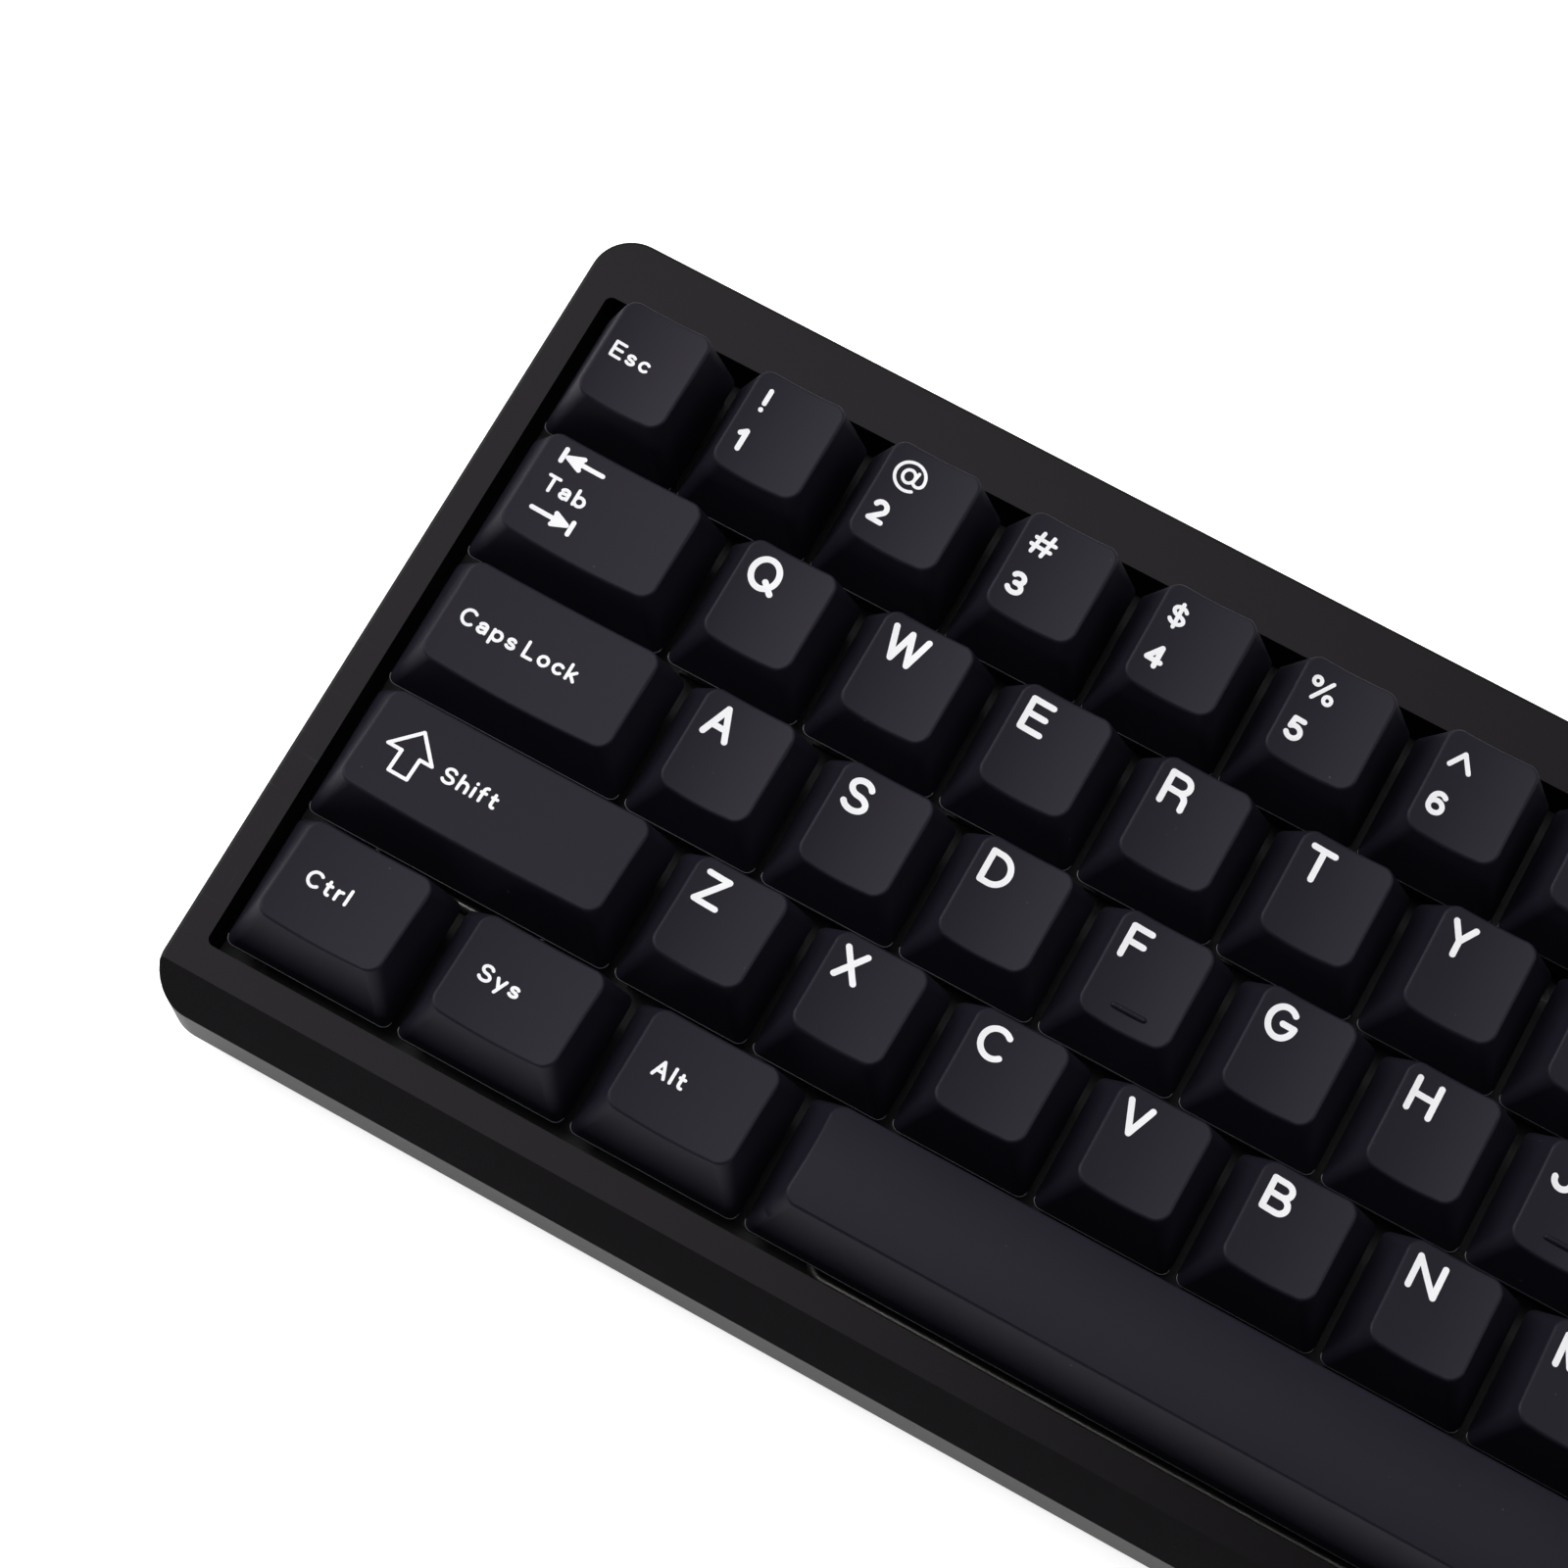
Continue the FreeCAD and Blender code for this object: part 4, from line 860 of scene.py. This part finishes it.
@dataclass
class KeySet:
    """All the keycaps: their finish, their legends and the polished rim at the foot of each skirt."""

    plastic: CapPlastic = CapPlastic("cap_plastic", "keycap", (0.0073, 0.0065, 0.0112), 0.5,
                                     specular=0.17)
    rim_plastic: CapPlastic = CapPlastic("cap_rim_plastic", "keycap", (0.012, 0.012, 0.014), 0.16,
                                         grain_depth=0.001)
    ink: LegendPlastic = LegendPlastic("legend_plastic", "keycap", (0.93, 0.93, 0.95), 0.45)
    proud: float = 0.03
    layer: float = 0.0015
    rim_radius: float = 0.11
    rim_level: float = 0.14
    rim_inset: float = 0.09
    skirt_corner: float = 1.2
    clearance: float = 3.0
    book: GlyphBook = field(default_factory=GlyphBook)

    groups = {
        "keys_7_8_9": ("7", "8", "9"),
        "keys_0_minus_equal": ("0", "minus", "equal"),
        "keys_u_i_o_p": ("u", "i", "o", "p"),
        "keys_brackets_backslash": ("left_bracket", "right_bracket", "backslash"),
        "keys_k_l_semicolon_quote": ("k", "l", "semicolon", "quote"),
        "keys_comma_dot_slash": ("comma", "dot", "slash"),
        "keys_right_modifiers": ("right_alt", "right_system", "menu", "right_ctrl"),
    }

    def rows(self) -> list[tuple[Profile, list[tuple[str, float, tuple[Legend, ...]]]]]:
        """The rows from the back, each with its keys' names, widths in units and legends."""
        letters = {name: (word(name.upper(), Style.LETTER),) for name in "abcdefghijklmnopqrstuvwxyz"}
        digits = [(under, 1.0, pair(over, under)) for over, under in zip("!@#$%^&*()", "1234567890")]
        arrow = Legend(("shift_arrow",), Style.DRAWN)
        tab_arrows = Legend(("tab_arrows",), Style.DRAWN_BOLD)
        modifier = Style.MODIFIER
        return [
            (Profile.NUMBER, [("esc", 1.0, (word("Esc", Style.ESCAPE),)), *digits,
                              ("minus", 1.0, pair("_", "-")), ("equal", 1.0, pair("+", "=")),
                              ("backspace", 2.0, (word("Backspace", Style.WORD),))]),
            (Profile.UPPER, [("tab", 1.5, (word("Tab", Style.TAB_WORD), tab_arrows)),
                             *[(name, 1.0, letters[name]) for name in "qwertyuiop"],
                             ("left_bracket", 1.0, pair("{", "[")), ("right_bracket", 1.0, pair("}", "]")),
                             ("backslash", 1.5, pair("|", "\\"))]),
            (Profile.HOME, [("caps_lock", 1.75, (word("Caps Lock", Style.WORD),)),
                            *[(name, 1.0, letters[name]) for name in "asdfghjkl"],
                            ("semicolon", 1.0, pair(":", ";")), ("quote", 1.0, pair('"', "'")),
                            ("enter", 2.25, (word("Enter", Style.WORD),))]),
            (Profile.LOWER, [("left_shift", 2.25, (arrow, word("Shift", Style.AFTER_ARROW))),
                             *[(name, 1.0, letters[name]) for name in "zxcvbnm"],
                             ("comma", 1.0, pair("<", ",")), ("dot", 1.0, pair(">", ".")),
                             ("slash", 1.0, pair("?", "/")),
                             ("right_shift", 2.75, (arrow, word("Shift", Style.AFTER_ARROW)))]),
            (Profile.LOWER, [("left_ctrl", 1.25, (word("Ctrl", modifier),)),
                             ("left_system", 1.25, (word("Sys", modifier),)),
                             ("left_alt", 1.25, (word("Alt", modifier),)), ("space", 6.25, ()),
                             ("right_alt", 1.25, (word("Alt", modifier),)),
                             ("right_system", 1.25, (word("Sys", modifier),)),
                             ("menu", 1.25, (word("Menu", modifier),)),
                             ("right_ctrl", 1.25, (word("Ctrl", modifier),))]),
        ]

    def spots(self) -> list[KeySpot]:
        """Every key with the middle of its cell."""
        rows = self.rows()
        width = UNIT * sum(units for _, units, _ in rows[0][1])
        made = []
        for row, (profile, keys) in enumerate(rows):
            left, y = -width / 2, (len(rows) - row - 0.5) * UNIT
            for name, units, legends in keys:
                made.append(KeySpot(name, units, profile, left + units * UNIT / 2, y, legends))
                left += units * UNIT
        return made

    def node_of(self, name: str) -> str:
        """The node that holds a key."""
        return next((node for node, keys in self.groups.items() if name in keys), "key_" + name)

    def ground(self, node: str) -> BVHTree:
        """The faces of a key's node, to lay legends on."""
        mesh = frame["nodes"][node].data
        return BVHTree.FromPolygons([v.co.copy() for v in mesh.vertices],
                                    [tuple(p.vertices) for p in mesh.polygons])

    def lay(self, pile: MeshPile, spot: KeySpot, ground: BVHTree) -> None:
        """Lays the legends of one key on its top.

        Args:
            pile: The mesh that they join.
            spot: The key.
            ground: The faces of its node.
        """
        half, matrix = spot.top()
        up = (matrix.to_3x3() @ OUTWARD).normalized()
        order = 0
        for legend in spot.legends:
            for line, width in self.book.set(legend):
                ribbon = Ribbon(width, self.proud + order * self.layer)
                order += 1
                pairs, closed = ribbon.rails(line)
                rings = []
                for left, right in pairs:
                    ring = []
                    for edge, sides in ((left, (-ribbon.sunk, ribbon.proud)),
                                        (right, (ribbon.proud, -ribbon.sunk))):
                        start = matrix @ Vector((edge.x - half, CAP_TOP_DEPTH / 2 + edge.y, self.clearance))
                        hit = ground.ray_cast(start, -up)[0]
                        if hit is None:
                            raise ValueError(f"the legend of {spot.name} runs off its cap")
                        ring += [hit + up * (side * MM) for side in sides]
                    rings.append(ring)
                pile.tube(rings, closed)

    def rim(self, pile: MeshPile, spot: KeySpot) -> None:
        """Lays the polished bead along the front foot of one skirt.

        Args:
            pile: The mesh that it joins.
            spot: The key.
        """
        half_x = (spot.units * UNIT - SKIRT_GAP) / 2 - self.rim_inset
        half_y = (UNIT - SKIRT_GAP) / 2 - self.rim_inset
        corner, steps = self.skirt_corner - self.rim_inset, 6
        rings = []
        for quarter, side_x in ((2, -1), (3, 1)):
            middle = Vector((spot.x + side_x * (half_x - corner), spot.y - half_y + corner,
                             self.rim_level))
            for step in range(steps + 1):
                angle = math.pi / 2 * (quarter + step / steps)
                out = Vector((math.cos(angle), math.sin(angle), 0))
                rings.append(wire_ring(middle + out * corner, out, self.rim_radius))
        pile.tube(rings, False)

    def by_node(self) -> dict[str, list[KeySpot]]:
        """The keys that each node holds."""
        nodes: dict[str, list[KeySpot]] = {}
        for spot in self.spots():
            nodes.setdefault(self.node_of(spot.name), []).append(spot)
        return nodes

    def build(self) -> None:
        """Dresses the keycaps and lays their legends and rims, one piece of each to a node."""
        for node, spots in self.by_node().items():
            self.plastic.dress(frame["nodes"][node])
            ground = self.ground(node)
            letters, rims = MeshPile(), MeshPile()
            for spot in spots:
                self.lay(letters, spot, ground)
                self.rim(rims, spot)
            made = [("rim", rims, self.rim_plastic, 60.0)]
            if letters.points:
                made.append(("legend", letters, self.ink, None))
            for kind, pile, finish, smooth in made:
                piece = pile.piece(f"{node}_{kind}", smooth)
                finish.dress(piece)
                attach(piece, node + "_body")
            LOG.info("%s: %d keys, %d legend points", node, len(spots), len(letters.points))


# ---------------------------------------------------------------- switch springs
@dataclass
class SpringSet:
    """Coil springs of round wire, one piece to a key node."""

    steel: Metal = Metal("spring_steel", "spring", (0.60, 0.53, 0.38), 0.3, (1.0, 1.0, 1.0))
    wire: float = 0.3
    coil_radius: float = 2.0
    turns: int = 7
    steps: int = 20
    travel: float = 4.0

    def span(self) -> tuple[float, float]:
        """The lowest and highest level of the springs on the deck, in mm."""
        onto_deck = DECK.matrix.inverted()
        levels = [(onto_deck @ v.co).z for v in frame["nodes"]["switch_springs"].data.vertices]
        return min(levels), max(levels)

    def coil(self, pile: MeshPile, spot: KeySpot, low: float, high: float) -> None:
        """Winds one spring.

        Args:
            pile: The mesh that it joins.
            spot: The key over it.
            low: Level of its foot, in mm.
            high: Level of its head, in mm.
        """
        count = self.turns * self.steps
        rise = (high - low - self.wire) / count
        rings = []
        for step in range(count + 1):
            angle = 2 * math.pi * step / self.steps
            out = Vector((math.cos(angle), math.sin(angle), 0))
            middle = Vector((spot.x, spot.y, low + self.wire / 2 + rise * step))
            middle += out * self.coil_radius
            rings.append(wire_ring(middle, out, self.wire / 2))
        pile.tube(rings, False)

    def build(self) -> None:
        """Winds the springs under the keys of every node."""
        low, high = self.span()
        for node, spots in KeySet().by_node().items():
            pile = MeshPile()
            for spot in spots:
                self.coil(pile, spot, low, high)
            piece = pile.piece(f"{node}_springs", 60.0)
            self.steel.dress(piece)
            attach(piece, "case")
            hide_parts("switch_springs")
            tuple(DECK.normal)
            tuple(DECK.matrix @ Vector((0, 0, low)))
            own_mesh(piece)
        LOG.info("springs: from %.2f to %.2f mm", low, high)


# ---------------------------------------------------------------- the other sub-assemblies
@dataclass
class Dressed:
    """CAD nodes that keep their shape and take a finish."""

    title: str
    finishes: dict[str, Finish]

    def build(self) -> None:
        """Puts each finish on its node."""
        for node, finish in self.finishes.items():
            finish.dress(frame["nodes"][node])
            LOG.info("%s: %s in %s", self.title, node, finish.name)


def case() -> Dressed:
    """The two halves of the case with what is fixed to them."""
    coat = CaseCoat("case_coat", "case_shell", (0.0042, 0.0036, 0.0042), 0.25)
    return Dressed("case", {
        "top_case": coat,
        "bottom_case": coat,
        "usb_socket": Metal("socket_shell", "socket", (0.62, 0.62, 0.63), 0.28, (1.0, 30.0, 1.0)),
        "screws": Metal("screw_steel", "screw", (0.30, 0.30, 0.31), 0.35, (1.0, 1.0, 20.0)),
        "rubber_feet": Moulding("foot_rubber", "foot", (0.022, 0.022, 0.022), 0.78, 0.5, 0.02),
    })


def inner_works() -> Dressed:
    """Plate, board and switches."""
    return Dressed("inner works", {
        "switch_plate": PlateCoat("plate_coat", "plate", (0.010, 0.010, 0.011), 0.42),
        "circuit_board": SolderMask("solder_mask", "board", (0.010, 0.022, 0.018), 0.3),
        "switch_bottoms": Moulding("housing_plastic", "switch_housing", (0.016, 0.016, 0.017), 0.4),
        "switch_tops": Moulding("hood_plastic", "switch_hood", (0.055, 0.055, 0.060), 0.28, 0.4, 0.002),
        "switch_springs": SpringSet.steel,
    })


def stabilisers() -> Dressed:
    """Housings and wires of the stabilisers."""
    wire = Metal("wire_steel", "wire", (0.60, 0.59, 0.57), 0.25)
    nylon = Moulding("stabiliser_nylon", "stabiliser", (0.018, 0.018, 0.019), 0.45)
    wires = ("left_shift_wire", "space_wire", "backspace_wire", "enter_wire", "right_shift_wire")
    return Dressed("stabilisers", {"stabiliser_housings": nylon, **{name: wire for name in wires}})


# ---------------------------------------------------------------- studio
@dataclass(frozen=True)
class SoftBox:
    """A square soft light: its place and aim on the deck in mm, its side and its power."""

    name: str
    place: tuple[float, float, float]
    aim: tuple[float, float, float]
    side: float
    power: float

    def build(self) -> None:
        """Hangs the light."""
        light = bpy.data.lights.new(self.name, "AREA")
        light.shape = "SQUARE"
        light.size = self.side
        light.energy = self.power
        lamp = bpy.data.objects.new(self.name, light)
        start, aim = DECK.matrix @ Vector(self.place), DECK.matrix @ Vector(self.aim)
        turn = (start - aim).to_track_quat("Z", "Y").to_matrix().to_4x4()
        lamp.matrix_world = Matrix.Translation(start) @ turn
        bpy.context.scene.collection.objects.link(lamp)
        LOG.info("studio: light %s", self.name)


@dataclass
class Studio:
    """Floor, lights, surroundings and camera."""

    paper: Paper = Paper("sweep_paper", "floor", (0.95, 0.95, 0.95), 0.7)
    floor_half: float = 3.0
    floor_cells: int = 24
    floor_level: float = -0.00005
    surroundings: Colour = (0.07, 0.07, 0.073)
    lights: tuple[SoftBox, ...] = (
        SoftBox("overhead_box", (-520, 620, 1150), (-60, 40, 0), 1.4, 10.4),
        SoftBox("left_box", (-1150, 250, 800), (-60, 40, 0), 0.9, 12.0),
        SoftBox("right_box", (1000, 900, 1000), (-60, 40, 0), 0.9, 7.0),
        SoftBox("corner_box", (-420, 290, 1120), (-140, 50, 0), 0.7, 1.9),
    )
    camera_place: tuple[float, float, float] = (-28.666, -78.442, 462.465)
    camera_aim: tuple[float, float, float] = (-93.196, 50.914, 0.0)
    camera_up: tuple[float, float, float] = (-0.467584, 0.832196, 0.298018)
    lens: float = 90.965
    sensor: float = 36.0
    nearest: float = 0.01

    def floor(self) -> None:
        """Lays the paper just under the feet, so that it never shares a level with their soles."""
        pile, half, steps = MeshPile(), self.floor_half, self.floor_cells
        for row in range(steps + 1):
            for column in range(steps + 1):
                pile.points.append(Vector((-half + 2 * half * column / steps,
                                           -half + 2 * half * row / steps, self.floor_level)))
        for row in range(steps):
            for column in range(steps):
                first = row * (steps + 1) + column
                pile.faces.append((first, first + 1, first + steps + 2, first + steps + 1))
        piece = pile.piece("paper_floor", 30.0)
        self.paper.dress(piece)

    def sky(self) -> None:
        """Fills the room with a dim even light."""
        world = bpy.data.worlds.new("studio_room")
        bpy.context.scene.world = world
        shader = Shader(world)
        shade = shader.node("ShaderNodeBackground", None,
                            {"Color": self.surroundings, "Strength": 1.0})
        shader.end("ShaderNodeOutputWorld", shade)
        bpy.context.scene.view_settings.view_transform = "Standard"

    def camera(self) -> None:
        """Sets the camera."""
        data = bpy.data.cameras.new("camera")
        data.lens = self.lens
        data.sensor_width = self.sensor
        data.clip_start = self.nearest
        turn = DECK.matrix.to_3x3().normalized()
        back = (turn @ (Vector(self.camera_place) - Vector(self.camera_aim))).normalized()
        up = (turn @ Vector(self.camera_up)).normalized()
        right = up.cross(back).normalized()
        axes = Matrix((right, back.cross(right), back)).transposed()
        eye = bpy.data.objects.new("camera", data)
        eye.matrix_world = Matrix.Translation(DECK.matrix @ Vector(self.camera_place)) @ axes.to_4x4()
        bpy.context.scene.collection.objects.link(eye)
        bpy.context.scene.camera = eye

    def build(self) -> None:
        """Builds the studio."""
        self.floor()
        self.sky()
        for light in self.lights:
            light.build()
        self.camera()


def main() -> None:
    """Dresses the keyboard, builds the studio and notes the sizes."""
    for assembly in (case(), inner_works(), stabilisers(), KeySet(), SpringSet(), Studio()):
        assembly.build()


if __name__ == "__main__":
    main()
